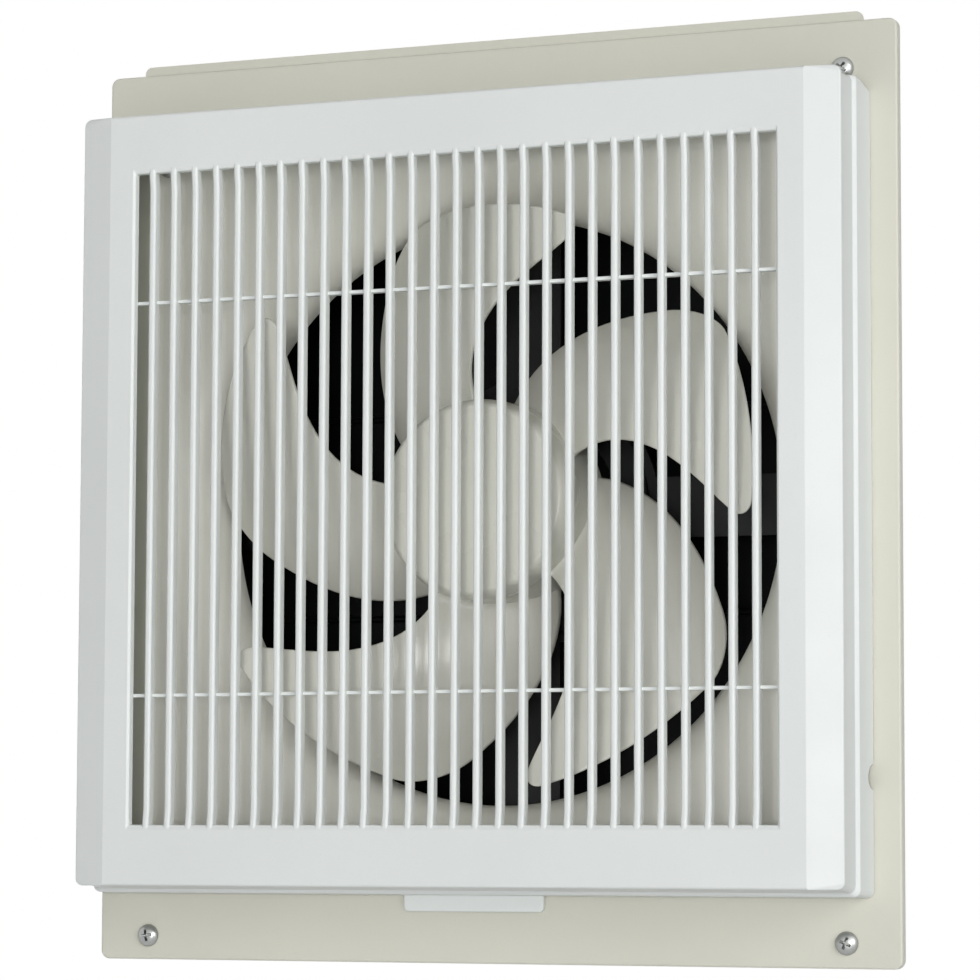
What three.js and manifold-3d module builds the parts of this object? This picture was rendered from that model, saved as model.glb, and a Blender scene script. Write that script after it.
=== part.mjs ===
// Square wall and window exhaust fan, 25 cm class.
//
// Millimetres, +Z up, +Y out of doors. The origin is on the fan's axis, in the plane of the
// frame that the mounting plate is screwed to. The room is on the -Y side.

import * as THREE from 'three';
import { mergeVertices } from 'three/addons/utils/BufferGeometryUtils.js';
import Module from 'manifold-3d';

const wasm = await Module();
wasm.setup();

// ---------------------------------------------------------------- clearances
const SEAT = 0.3; // between pieces that rest on or in one another
const RUN = 0.6; // round what turns or slides in
const TIP_GAP = 2.6; // blade tip to throat
const WALL_GAP = 0.5; // cover rim to plate

// ---------------------------------------------------------------- screws
const SCREW_HEAD_R = 4.8;
const SCREW_HEAD_H = 2.9;
const SCREW_SHANK_R = 2;
const SCREW_LEN = 25;
const SCREW_HOLE_R = SCREW_SHANK_R + 0.6;
const SMALL_HEAD_R = 3.4;
const SMALL_HEAD_H = 2;
const SMALL_SHANK_R = 1.5;
const SMALL_HOLE_R = SMALL_SHANK_R + 0.35;

// ---------------------------------------------------------------- fan wheel
const BLADES = 5;
const WHEEL_R = 124;
const HUB_R = 41.7;
const HUB_WALL = 2.4;
const HUB_FRONT = -0.5;
const HUB_DEPTH = 22.5;
const HUB_EDGE = 3;
const HUB_FLARE = 1.2;
const HUB_POCKET_GAP = 1.4; // round the cap
const HUB_POCKET_DEPTH = 5.2;
const CAP_R = 31.8;
const CAP_WALL = 2.2;
const CAP_RISE = 2; // how far the cap stands in front of the hub face
const BOSS_R = 9;
const DRIVE_PIN_R = 1.5;
const WEB_T = 1.6;
// Clockwise angle of each blade edge from the blade's own axis, hub to tip, as the four
// control angles of a cubic, in degrees.
const LEAD_ANGLES = [-8.3, -11.4, 21.1, 23.9];
const TRAIL_ANGLES = [-64.5, -51.2, -35.8, -18.5];
const LEAD_Y_ROOT = 2.6;
const LEAD_Y_TIP = -29;
const TRAIL_Y_ROOT = 19.6;
const TRAIL_Y_TIP = 7.5;
const BLADE_CAMBER = 0.075; // share of the chord
const BLADE_T_ROOT = 3.2;
const BLADE_T_TIP = 1.6;
const LEAD_TIP_ROUND = 9;
const TRAIL_TIP_ROUND = 15;

// ---------------------------------------------------------------- orifice
const THROAT_R = WHEEL_R + TIP_GAP;
const THROAT_Y = 15;
const THROAT_END = 25;
const MOUTH_FLARE = 28.4; // how far the mouth opens beyond the throat
const MOUTH_R = THROAT_R + MOUTH_FLARE;
const ORIFICE_LAND = 2; // flat left round the mouth
const ORIFICE_HALF_W = MOUTH_R + ORIFICE_LAND;
const ORIFICE_T = 2;
const ORIFICE_GAP = 0.5;
const ORIFICE_CORNER = 6;
const ORIFICE_SCREW_INSET = 7.5;
const ORIFICE_SCREW = ORIFICE_HALF_W - ORIFICE_SCREW_INSET;

// ---------------------------------------------------------------- mounting plate
const PLATE_MARGIN_X = 22.3; // beyond the orifice panel
const PLATE_MARGIN_Z = 35.5;
const PLATE_W = 2 * (ORIFICE_HALF_W + PLATE_MARGIN_X);
const PLATE_H = 2 * (ORIFICE_HALF_W + PLATE_MARGIN_Z);
const PLATE_DEPTH = 4.5; // front face to the wall plane
const PLATE_SKIN = 2.2;
const PLATE_RIM = 2;
const PLATE_CORNER = 3.4;
const PLATE_EDGE = 0.7; // softened front edge
const PLATE_HOLE_R = MOUTH_R - 3.5;
const LIP_INSET = 15.3;
const LIP_RISE = 4.3;
const LIP_T = 1.6;
const LIP_CORNER = 3;
const SCREW_INSET_X = 23;
const SCREW_INSET_LOW = 10.2;
const SCREW_INSET_HIGH = 19.8;
const SCREW_X = PLATE_W / 2 - SCREW_INSET_X;
const SCREW_Z_LOW = SCREW_INSET_LOW - PLATE_H / 2;
const SCREW_Z_HIGH = PLATE_H / 2 - SCREW_INSET_HIGH;
const BOSS_W = 19;
const BOSS_H = 14;

// ---------------------------------------------------------------- sleeve
const SLEEVE_LEDGE = 13; // how far the flange stands out from the inside
const SLEEVE_FLANGE = ORIFICE_HALF_W;
const SLEEVE_IN = SLEEVE_FLANGE - SLEEVE_LEDGE; // half width inside
const SLEEVE_T = 1;
const SLEEVE_CORNER = 1.6;

// ---------------------------------------------------------------- front cover
const COVER_X = -4.55; // the cover sits this far off the fan's axis
const COVER_FRONT = -41.1;
const COVER_MARGIN_X = 13.1; // panel beyond the orifice panel
const COVER_MARGIN_TOP = 10.7;
const COVER_MARGIN_BOTTOM = 3.9;
const PANEL_HALF = ORIFICE_HALF_W + COVER_MARGIN_X; // over the two side bevels
const BEVEL_W = 14.6;
const BEVEL_DEPTH = 3.4;
const FACE_HALF = PANEL_HALF - BEVEL_W; // flat part of the face
const PANEL_EDGE = 1.6;
const PANEL_TOP = ORIFICE_HALF_W + COVER_MARGIN_TOP;
const PANEL_BOTTOM = -ORIFICE_HALF_W - COVER_MARGIN_BOTTOM;
const PANEL_CORNER = 3;
const FACE_T = 3;
const WALL_T = 2.2;
const GROOVE_IN = 1.4; // side wall set in behind the panel's edge
const GROOVE_UP = 0.8;
const GROOVE_DRAFT = 0.7;
const GROOVE_DROP = 2.2; // the lower wall's extra draft
const TOP_WALL_IN = 0.9;
const RIDGE_Y = -19.1; // where the wall steps out to the wide rim
const RIDGE_STEP = 1.5;
const RIDGE_OUT = 0.9; // rim beyond the panel's edge
const RIM_DRAFT = 1.5;
const RIM_DROP = 2.8; // rim below the panel's lower edge
const RIM_DROP_DRAFT = 0.7;
const RIM_FLARE = 0.6; // rim above the top wall
const RELIEF_RISE = 5.2; // slanted relief at the top of the rim
const TAB_HALF = 31.3;
const TAB_DROP = 7.4;
const TAB_T = 2.5;
const TAB_CORNER = 2;
const NOTCH_R = 5.2;
const NOTCH_UP = 44.9; // above the panel's lower edge

// ---------------------------------------------------------------- grille
const BARS = 28;
const BAR_W = 3;
const BAR_W_BACK = 2.2;
const BAR_DEPTH = 5;
const GRILLE_BORDER = 11.1; // face left beside the opening
const GRILLE_BORDER_TOP = 25.6;
const GRILLE_BORDER_BOTTOM = 24.7;
const GRILLE_HALF = FACE_HALF - GRILLE_BORDER;
const GRILLE_TOP = PANEL_TOP - GRILLE_BORDER_TOP;
const GRILLE_BOTTOM = PANEL_BOTTOM + GRILLE_BORDER_BOTTOM;
const GRILLE_SIDE_GAP = 7.9;
const BAR_SPAN = 2 * (GRILLE_HALF - GRILLE_SIDE_GAP) - BAR_W;
const GRILLE_CHAMFER = 1.2;
const GRILLE_END_CHAMFER = 2.8;
const RIB_INSET = 55.4; // each cross rib from its end of the opening
const CROSS_RIB_H = 2;
const CROSS_RIB_SET_BACK = 2.4;
const CROSS_RIB_DEPTH = 3.6;

// ---------------------------------------------------------------- cover hinge and catch
const EAR_T = 2.4;
const EAR_INSET = 9.6; // inner face of the ear, in from the panel's edge
const EAR_IN = PANEL_HALF - EAR_INSET;
const EAR_HALF = 4;
const HINGE_Y = -12;
const HINGE_Z = ORIFICE_HALF_W + ORIFICE_GAP + EAR_HALF;
const HINGE_PIN_R = 1.75;
const HINGE_BASE_T = 1.5;
const HINGE_BASE_W = 15;
const CATCH_HALF = 14;
const CATCH_EAR = 10;
const CATCH_HEAD_R = 2.2;
const CATCH_HEAD_H = 1.2;
const CATCH_T = 1;
const CATCH_REACH = 8;
const CATCH_BUMP = 0.7;

// ---------------------------------------------------------------- motor
const SHAFT_R = 4;
const MOTOR_R = 40;
const MOTOR_L = 38;
const MOTOR_CLEAR = 4; // behind the hub
const MOTOR_FRONT = HUB_FRONT + HUB_DEPTH + MOTOR_CLEAR;
const MOTOR_SPLIT = MOTOR_FRONT + MOTOR_L / 2;
const MOTOR_REAR = MOTOR_FRONT + MOTOR_L;
const SHELL_T = 1.6;
const FLANGE_W = 14;
const FLANGE_R = MOTOR_R + FLANGE_W;
const FLANGE_T = 1.6;
const MOTOR_SCREW_R = MOTOR_R + 8.5;
const BEARING_R = 9;
const BEARING_W = 5.5;
const STATOR_L = 18;
const STATOR_SLOTS = 8;
const SLOT_R = 3.6;
const AIR_GAP = 0.8;
const ROTOR_R = 21;
const END_RING_W = 4;
const END_RING_T = 2.5;
const COIL_L = 5.2;

// ---------------------------------------------------------------- motor bracket
const BRACKET_T = 2;
const BRACKET_RING_W = 18; // round the motor
const ARM_W = 26;
const FOOT_DEPTH = 15;
const BEAD_W = 6;
const BEAD_RISE = 2;

// ---------------------------------------------------------------- shutter
const SHUTTER_DEPTH = 9;
const SLEEVE_END = MOTOR_REAR + SHUTTER_DEPTH + 15;
const SHUTTER_Y1 = SLEEVE_END - 1;
const SHUTTER_Y0 = SHUTTER_Y1 - SHUTTER_DEPTH;
const SHUTTER_OUT = SLEEVE_IN - RUN;
const SHUTTER_WALL = 1.6;
const SHUTTER_LEDGE = 9.4; // width of the flange round the air opening
const SHUTTER_STOP = SHUTTER_OUT - SHUTTER_LEDGE;
const LOUVRES = 3;
const LOUVRE_INSET = 7.4; // top pivot from the frame's outside
const LOUVRE_SILL = 7.9; // lowest edge from the frame's outside
const LOUVRE_LAP = 3;
const LOUVRE_TOP = SHUTTER_OUT - LOUVRE_INSET;
const LOUVRE_PITCH = (LOUVRE_TOP + SHUTTER_OUT - LOUVRE_SILL - LOUVRE_LAP) / LOUVRES;
const LOUVRE_LEN = LOUVRE_PITCH + LOUVRE_LAP;
const LOUVRE_Y = SHUTTER_Y0 + 3.5;
const LOUVRE_LEAN = 3.7; // how far the lower edge lies behind the pivot when shut
const LOUVRE_LIP = 4;
const LOUVRE_CROWN = 1.2;
const LOUVRE_T = 1.2;
const LOUVRE_HALF = SHUTTER_OUT - SHUTTER_WALL - 2.3;
const LOUVRE_HEM = 1.6;
const LOUVRE_PIN_R = 1.3;
const LINK_INSET = 27.5; // from the louvre's end
const LINK_X = LOUVRE_HALF - LINK_INSET;
const LINK_ARM = 14;
const LINK_ARM_END = 3;
const LINK_ARM_W = 4;
const LINK_T = 2;
const LINK_W = 5;
const LINK_PIN_R = 1.3;

// ---------------------------------------------------------------- wiring parts
const TERMINAL_SIZE = 40;
const TERMINAL_Y0 = 6;
const TERMINAL_DEPTH = 36;
const TERMINAL_Y1 = TERMINAL_Y0 + TERMINAL_DEPTH;
const TERMINAL_T = 1.4;
const BLOCK_DEPTH = 9;
const BLOCK_H = 10;
const BUSHING_R = 8;
const BUSHING_BORE = 4;
const BUSHING_LIP = 1.6;
const CAPACITOR_R = 14;
const CAPACITOR_L = 46;
const CAPACITOR_INSET = 23; // its middle from the sleeve's walls
const CAPACITOR_AT = SLEEVE_IN - CAPACITOR_INSET;
const CLAMP_T = 1.2;
const CLAMP_HALF = 7;

const FINE = 40; // segments round the bell mouth
const ROUND = 30; // segments round the hub and its cap
const PLAIN = 20; // segments round the motor
const SMALL = 8; // segments round pins, holes and screws
const RING_STEPS = 2; // segments round a small moulded corner

const rad = THREE.MathUtils.degToRad;

// ================================================================ geometry helpers

/** Turns a three.js geometry into a solid, facing out. */
function solid(geometry) {
  const plain = geometry.clone();
  for (const name of Object.keys(plain.attributes)) {
    if (name !== 'position') plain.deleteAttribute(name);
  }
  const merged = mergeVertices(plain, 1e-4);
  const positions = merged.attributes.position.array;
  const kept = [];
  const index = merged.index.array;
  for (let i = 0; i < index.length; i += 3) {
    const [a, b, c] = [index[i], index[i + 1], index[i + 2]];
    if (a !== b && b !== c && c !== a) kept.push(a, b, c);
  }
  let volume = 0;
  const point = (i) => new THREE.Vector3().fromArray(positions, 3 * i);
  for (let i = 0; i < kept.length; i += 3) {
    const [p, q, r] = [point(kept[i]), point(kept[i + 1]), point(kept[i + 2])];
    volume += p.dot(q.cross(r));
  }
  if (volume < 0) {
    for (let i = 0; i < kept.length; i += 3) {
      [kept[i + 1], kept[i + 2]] = [kept[i + 2], kept[i + 1]];
    }
  }
  const mesh = new wasm.Mesh({
    numProp: 3,
    vertProperties: Float32Array.from(positions),
    triVerts: Uint32Array.from(kept),
  });
  return new wasm.Manifold(mesh);
}

/** Joins a list of solids. */
function join(...parts) {
  return parts.flat().reduce((sum, part) => sum.add(part));
}

/** Cuts a list of solids out of one. */
function cut(body, ...tools) {
  return tools.flat().reduce((rest, tool) => rest.subtract(tool), body);
}

/** A block given by its two corners. */
function block(x0, x1, y0, y1, z0, z1) {
  const geometry = new THREE.BoxGeometry(x1 - x0, y1 - y0, z1 - z0);
  geometry.translate((x0 + x1) / 2, (y0 + y1) / 2, (z0 + z1) / 2);
  return solid(geometry);
}

/** A rod along Y from y0 to y1. */
function rodY(x, z, r, y0, y1, segments = SMALL) {
  const geometry = new THREE.CylinderGeometry(r, r, y1 - y0, segments);
  geometry.translate(x, (y0 + y1) / 2, z);
  return solid(geometry);
}

/** A rod along X from x0 to x1. */
function rodX(y, z, r, x0, x1, segments = SMALL) {
  const geometry = new THREE.CylinderGeometry(r, r, x1 - x0, segments);
  geometry.rotateZ(Math.PI / 2);
  geometry.translate((x0 + x1) / 2, y, z);
  return solid(geometry);
}

/** A rod along Z from z0 to z1. */
function rodZ(x, y, r, z0, z1, segments = SMALL) {
  const geometry = new THREE.CylinderGeometry(r, r, z1 - z0, segments);
  geometry.rotateX(Math.PI / 2);
  geometry.translate(x, y, (z0 + z1) / 2);
  return solid(geometry);
}

/** Revolves a closed [radius, y] profile round the Y axis. */
function revolve(profile, segments = ROUND) {
  const closed = [...profile, profile[0]];
  const points = closed.map(([r, y]) => new THREE.Vector2(r, y));
  return solid(new THREE.LatheGeometry(points, segments));
}

/** Rounded rectangle in the X-Z plane as a three.js shape. */
function roundedRect(x0, x1, z0, z1, r) {
  const shape = new THREE.Shape();
  shape.moveTo(x0 + r, z0);
  shape.lineTo(x1 - r, z0);
  shape.absarc(x1 - r, z0 + r, r, -Math.PI / 2, 0, false);
  shape.lineTo(x1, z1 - r);
  shape.absarc(x1 - r, z1 - r, r, 0, Math.PI / 2, false);
  shape.lineTo(x0 + r, z1);
  shape.absarc(x0 + r, z1 - r, r, Math.PI / 2, Math.PI, false);
  shape.lineTo(x0, z0 + r);
  shape.absarc(x0 + r, z0 + r, r, Math.PI, Math.PI * 1.5, false);
  return shape;
}

/** Extrudes an X-Z shape along Y from y0 to y1. */
function slab(shape, y0, y1, curveSegments = 3) {
  const options = { depth: y1 - y0, bevelEnabled: false, curveSegments };
  const geometry = new THREE.ExtrudeGeometry(shape, options);
  geometry.rotateX(Math.PI / 2);
  geometry.translate(0, y1, 0);
  return solid(geometry);
}

/** Extrudes a Y-Z outline along X from x0 to x1. */
function prismX(outline, x0, x1) {
  const shape = new THREE.Shape(outline.map(([y, z]) => new THREE.Vector2(y, z)));
  const geometry = new THREE.ExtrudeGeometry(shape, { depth: x1 - x0, bevelEnabled: false });
  const turn = new THREE.Matrix4().makeBasis(
    new THREE.Vector3(0, 1, 0),
    new THREE.Vector3(0, 0, 1),
    new THREE.Vector3(1, 0, 0),
  );
  geometry.applyMatrix4(turn);
  geometry.translate(x0, 0, 0);
  return solid(geometry);
}

/** Extrudes an X-Y outline along Z from z0 to z1. */
function prismZ(outline, z0, z1) {
  const shape = new THREE.Shape(outline.map(([x, y]) => new THREE.Vector2(x, y)));
  const geometry = new THREE.ExtrudeGeometry(shape, { depth: z1 - z0, bevelEnabled: false });
  geometry.translate(0, 0, z0);
  return solid(geometry);
}

/** Skins a stack of equal rings of points, closed at both ends. */
function loft(rings) {
  const count = rings[0].length;
  const positions = rings.flat().flatMap((p) => [p.x, p.y, p.z]);
  const index = [];
  for (let k = 0; k + 1 < rings.length; k += 1) {
    for (let i = 0; i < count; i += 1) {
      const a = k * count + i;
      const b = k * count + ((i + 1) % count);
      index.push(a, b, b + count, a, b + count, a + count);
    }
  }
  for (const k of [0, rings.length - 1]) {
    const middle = rings[k].reduce((sum, p) => sum.add(p), new THREE.Vector3());
    middle.divideScalar(count);
    positions.push(middle.x, middle.y, middle.z);
    const centre = positions.length / 3 - 1;
    for (let i = 0; i < count; i += 1) {
      const a = k * count + i;
      const b = k * count + ((i + 1) % count);
      if (k === 0) index.push(b, a, centre);
      else index.push(a, b, centre);
    }
  }
  const geometry = new THREE.BufferGeometry();
  geometry.setAttribute('position', new THREE.Float32BufferAttribute(positions, 3));
  geometry.setIndex(index);
  return solid(geometry);
}

/** Ring of points round a rounded rectangle at one depth, for loft. */
function rectRing(y, half, bottom, top, r) {
  const points = [];
  const corners = [
    [half - r, top - r, 0],
    [-half + r, top - r, 90],
    [-half + r, bottom + r, 180],
    [half - r, bottom + r, 270],
  ];
  for (const [x, z, start] of corners) {
    for (let i = 0; i <= RING_STEPS; i += 1) {
      const angle = rad(start + (90 / RING_STEPS) * i);
      points.push(new THREE.Vector3(x + r * Math.cos(angle), y, z + r * Math.sin(angle)));
    }
  }
  return points;
}

/** Value at t of the cubic with four control values. */
function cubic([p0, p1, p2, p3], t) {
  const s = 1 - t;
  return s * s * s * p0 + 3 * s * s * t * p1 + 3 * s * t * t * p2 + t * t * t * p3;
}

const model = new THREE.Group();

/** Adds one named mesh to the model. */
function place(name, body, look, at = [0, 0, 0]) {
  const mesh = body.getMesh();
  const geometry = new THREE.BufferGeometry();
  geometry.setAttribute('position', new THREE.BufferAttribute(mesh.vertProperties, 3));
  geometry.setIndex(new THREE.BufferAttribute(mesh.triVerts, 1));
  geometry.computeVertexNormals();
  const node = new THREE.Mesh(geometry, look);
  node.name = name;
  node.position.set(...at);
  model.add(node);
  return node;
}

/** A plain material. */
function look(color, roughness, metalness = 0) {
  return new THREE.MeshStandardMaterial({ color, roughness, metalness });
}

const WHITE = look(0xe4e8e8, 0.42);
const BEIGE = look(0xccccbc, 0.5);
const GREY_BEIGE = look(0xc4c4b6, 0.5);
const CREAM = look(0xcccabc, 0.3);
const ZINC = look(0xb9bdbd, 0.3, 1);
const GALVANISED = look(0xa7abac, 0.45, 0.9);
const STEEL = look(0x8f9497, 0.35, 1);
const DARK_STEEL = look(0x4b4e52, 0.5, 0.8);
const BLACK = look(0x0d0e10, 0.28);
const BLACK_PAINT = look(0x17181a, 0.42);
const COPPER = look(0xb4672f, 0.4, 0.9);
const GREY_PLASTIC = look(0x6b6e70, 0.5);
const RUBBER = look(0x1b1b1c, 0.8);

// ================================================================ fasteners

/** Pan-head screw along Y, its head on the -Y side of y = 0. */
function panScrew(headR, headH, shankR, length, segments = SMALL) {
  return revolve([
    [0, -headH],
    [0.6 * headR, -0.86 * headH],
    [headR, -0.25 * headH],
    [headR, 0],
    [shankR, 0],
    [shankR, length],
    [0, length],
  ], segments);
}

/** Cuts a cross recess into a screw's head. */
function crossRecess(screw, headR, headH) {
  const arm = 0.5 * headR;
  const width = 0.13 * headR;
  const floor = -0.45 * headH;
  return cut(
    screw,
    block(-arm, arm, -headH - 1, floor, -width, width),
    block(-width, width, -headH - 1, floor, -arm, arm),
  );
}

/** Small self-tapping screw of the given length. */
function smallScrew(length) {
  return panScrew(SMALL_HEAD_R, SMALL_HEAD_H, SMALL_SHANK_R, length);
}

// ================================================================ shared places
const PLATE_FRONT = -PLATE_DEPTH;
const CATCH_Z = -ORIFICE_HALF_W - SEAT - CATCH_HEAD_R - 0.1; // height of the catch's middle
const CATCH_FOOT_HALF = 2.1; // half height of the catch's foot
const CATCH_LOW = CATCH_Z + CATCH_FOOT_HALF - CATCH_T - CATCH_BUMP; // underside of its bump
const CATCH_SCREW = CATCH_HALF + 0.6 * CATCH_EAR; // screws from the cover's middle line
const CLAMP_SCREW = CAPACITOR_AT - CAPACITOR_R - 9; // from the axis
const CLAMP_Y = TERMINAL_Y0 + CAPACITOR_L / 2;
const SIDES = [['left', -1], ['right', 1]];
const CORNERS = ['tl', 'tr', 'bl', 'br'];

/** The four corners of a square, in the order of CORNERS. */
function corners(half) {
  return [[-half, half], [half, half], [-half, -half], [half, -half]];
}

/** Four points at the given distance from the axis, on the diagonals. */
function diagonal(r) {
  return corners(r * Math.SQRT1_2);
}

/** X of the screw that holds the hinge bracket on one side. */
function hingeScrewX(side) {
  return COVER_X + side * (EAR_IN - HINGE_BASE_W / 2);
}

const platePoints = [
  ['tl', -SCREW_X, SCREW_Z_HIGH],
  ['tr', SCREW_X, SCREW_Z_HIGH],
  ['bl', -SCREW_X, SCREW_Z_LOW],
  ['br', SCREW_X, SCREW_Z_LOW],
];

// ================================================================ mounting plate
// A moulded tray: flat face, rim turned back to the wall, screw bosses, a tongue on top.
{
  const half = PLATE_W / 2;
  const top = PLATE_H / 2;
  const outer = loft([
    rectRing(0, half, -top, top, PLATE_CORNER),
    rectRing(PLATE_FRONT + PLATE_EDGE, half, -top, top, PLATE_CORNER),
    rectRing(PLATE_FRONT, half - PLATE_EDGE, PLATE_EDGE - top, top - PLATE_EDGE, PLATE_CORNER),
  ]);
  const back = PLATE_FRONT + PLATE_SKIN;
  const inHalf = half - PLATE_RIM;
  const inTop = top - PLATE_RIM;
  const pocket = slab(roundedRect(-inHalf, inHalf, -inTop, inTop, 1.4), back, 1);
  const bosses = platePoints.map(([, x, z]) => (
    slab(roundedRect(x - BOSS_W / 2, x + BOSS_W / 2, z - BOSS_H / 2, z + BOSS_H / 2, 3), back - 1, 0)
  ));
  const lipTop = top + LIP_RISE;
  const tongue = roundedRect(LIP_INSET - half, half - LIP_INSET, top - LIP_RISE, lipTop, LIP_CORNER);
  const hole = rodY(0, 0, PLATE_HOLE_R, PLATE_FRONT - 1, 1, FINE);
  const screwHoles = platePoints.map(([, x, z]) => rodY(x, z, SCREW_HOLE_R, PLATE_FRONT - 1, 1));
  const orificeHoles = corners(ORIFICE_SCREW).map(([x, z]) => (
    rodY(x, z, SMALL_HOLE_R, PLATE_FRONT - 1, 1)
  ));
  const hingeHoles = SIDES.map(([, side]) => (
    rodY(hingeScrewX(side), HINGE_Z, SMALL_HOLE_R, PLATE_FRONT - 1, 1)
  ));
  const catchHoles = SIDES.map(([, side]) => (
    rodY(COVER_X + side * CATCH_SCREW, CATCH_Z, SMALL_HOLE_R, PLATE_FRONT - 1, 1)
  ));
  let plate = join(cut(outer, pocket), bosses, slab(tongue, -LIP_T, 0));
  plate = cut(plate, hole, screwHoles, orificeHoles, hingeHoles, catchHoles);
  place('mounting_plate', plate, BEIGE);
}

for (const [tag, x, z] of platePoints) {
  const screw = panScrew(SCREW_HEAD_R, SCREW_HEAD_H, SCREW_SHANK_R, SCREW_LEN, 2 * SMALL);
  const body = crossRecess(screw, SCREW_HEAD_R, SCREW_HEAD_H);
  place(`mounting_screw_${tag}`, body, ZINC, [x, PLATE_FRONT - SEAT, z]);
}

// ================================================================ sleeve
// Sheet-steel box that goes through the wall, with a flange behind the plate.
const SLEEVE_FRONT = PLATE_FRONT + PLATE_SKIN + SEAT;
const terminal = {
  x0: SLEEVE_IN - SEAT - TERMINAL_SIZE,
  x1: SLEEVE_IN - SEAT,
  z0: -SLEEVE_IN + SEAT,
  z1: -SLEEVE_IN + SEAT + TERMINAL_SIZE,
};
const bushingAt = {
  x: (terminal.x0 + terminal.x1) / 2,
  y: (TERMINAL_Y0 + TERMINAL_Y1) / 2,
};
const BRACKET_Y = MOTOR_SPLIT + FLANGE_T + 2 * SEAT;
const footScrewY = BRACKET_Y + BRACKET_T + 0.55 * (FOOT_DEPTH - BRACKET_T);
{
  const out = SLEEVE_IN + SLEEVE_T;
  const outline = (half, r) => roundedRect(-half, half, -half, half, r);
  let sleeve = join(
    slab(outline(out, SLEEVE_CORNER), SLEEVE_FRONT, SLEEVE_END),
    slab(outline(SLEEVE_FLANGE, 3), SLEEVE_FRONT, SLEEVE_FRONT + SLEEVE_T),
  );
  const bore = slab(outline(SLEEVE_IN, SLEEVE_CORNER - SLEEVE_T), SLEEVE_FRONT - 1, SLEEVE_END + 1);
  const flangeHoles = corners(ORIFICE_SCREW).map(([x, z]) => (
    rodY(x, z, SMALL_HOLE_R, SLEEVE_FRONT - 1, SLEEVE_FRONT + SLEEVE_T + 1)
  ));
  const footHoles = [
    rodX(footScrewY, 0, SMALL_HOLE_R, -out - 1, out + 1),
    rodZ(0, footScrewY, SMALL_HOLE_R, -out - 1, out + 1),
  ];
  const bushingHole = rodZ(bushingAt.x, bushingAt.y, BUSHING_R, -out - 1, -SLEEVE_IN + 1, PLAIN);
  const clampHole = rodZ(-CLAMP_SCREW, CLAMP_Y, SMALL_HOLE_R, -out - 1, -SLEEVE_IN + 1);
  sleeve = cut(sleeve, bore, flangeHoles, footHoles, bushingHole, clampHole);
  place('wall_sleeve', sleeve, BLACK_PAINT);
}

// ================================================================ orifice
// Square panel with a bell mouth that draws in to the throat.
const ORIFICE_BACK = PLATE_FRONT - ORIFICE_GAP;
const ORIFICE_FRONT = ORIFICE_BACK - ORIFICE_T;
{
  const steps = 6;
  const radial = MOUTH_R - THROAT_R;
  const axial = THROAT_Y - ORIFICE_FRONT;
  const inside = [];
  const outside = [];
  for (let i = 0; i <= steps; i += 1) {
    const angle = (Math.PI / 2) * (i / steps);
    const c = Math.cos(angle);
    const s = Math.sin(angle);
    inside.push([MOUTH_R - radial * s, THROAT_Y - axial * c]);
    outside.push([MOUTH_R - (radial - ORIFICE_T) * s, THROAT_Y - (axial - ORIFICE_T) * c]);
  }
  inside.push([THROAT_R, THROAT_END]);
  outside.push([THROAT_R + ORIFICE_T, THROAT_END]);
  const bell = revolve([...inside, ...outside.reverse()], FINE);
  const half = ORIFICE_HALF_W;
  const panel = slab(roundedRect(-half, half, -half, half, ORIFICE_CORNER), ORIFICE_FRONT, ORIFICE_BACK);
  const mouth = rodY(0, 0, MOUTH_R - 0.2, ORIFICE_FRONT - 1, ORIFICE_BACK + 1, FINE);
  const holes = corners(ORIFICE_SCREW).map(([x, z]) => (
    rodY(x, z, SMALL_HOLE_R, ORIFICE_FRONT - 1, ORIFICE_BACK + 1)
  ));
  place('orifice_panel', cut(join(cut(panel, mouth), bell), holes), GREY_BEIGE);
  corners(ORIFICE_SCREW).forEach(([x, z], i) => {
    const screw = smallScrew(9);
    place(`orifice_screw_${CORNERS[i]}`, screw, ZINC, [x, ORIFICE_FRONT - SEAT, z]);
  });
}

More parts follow.
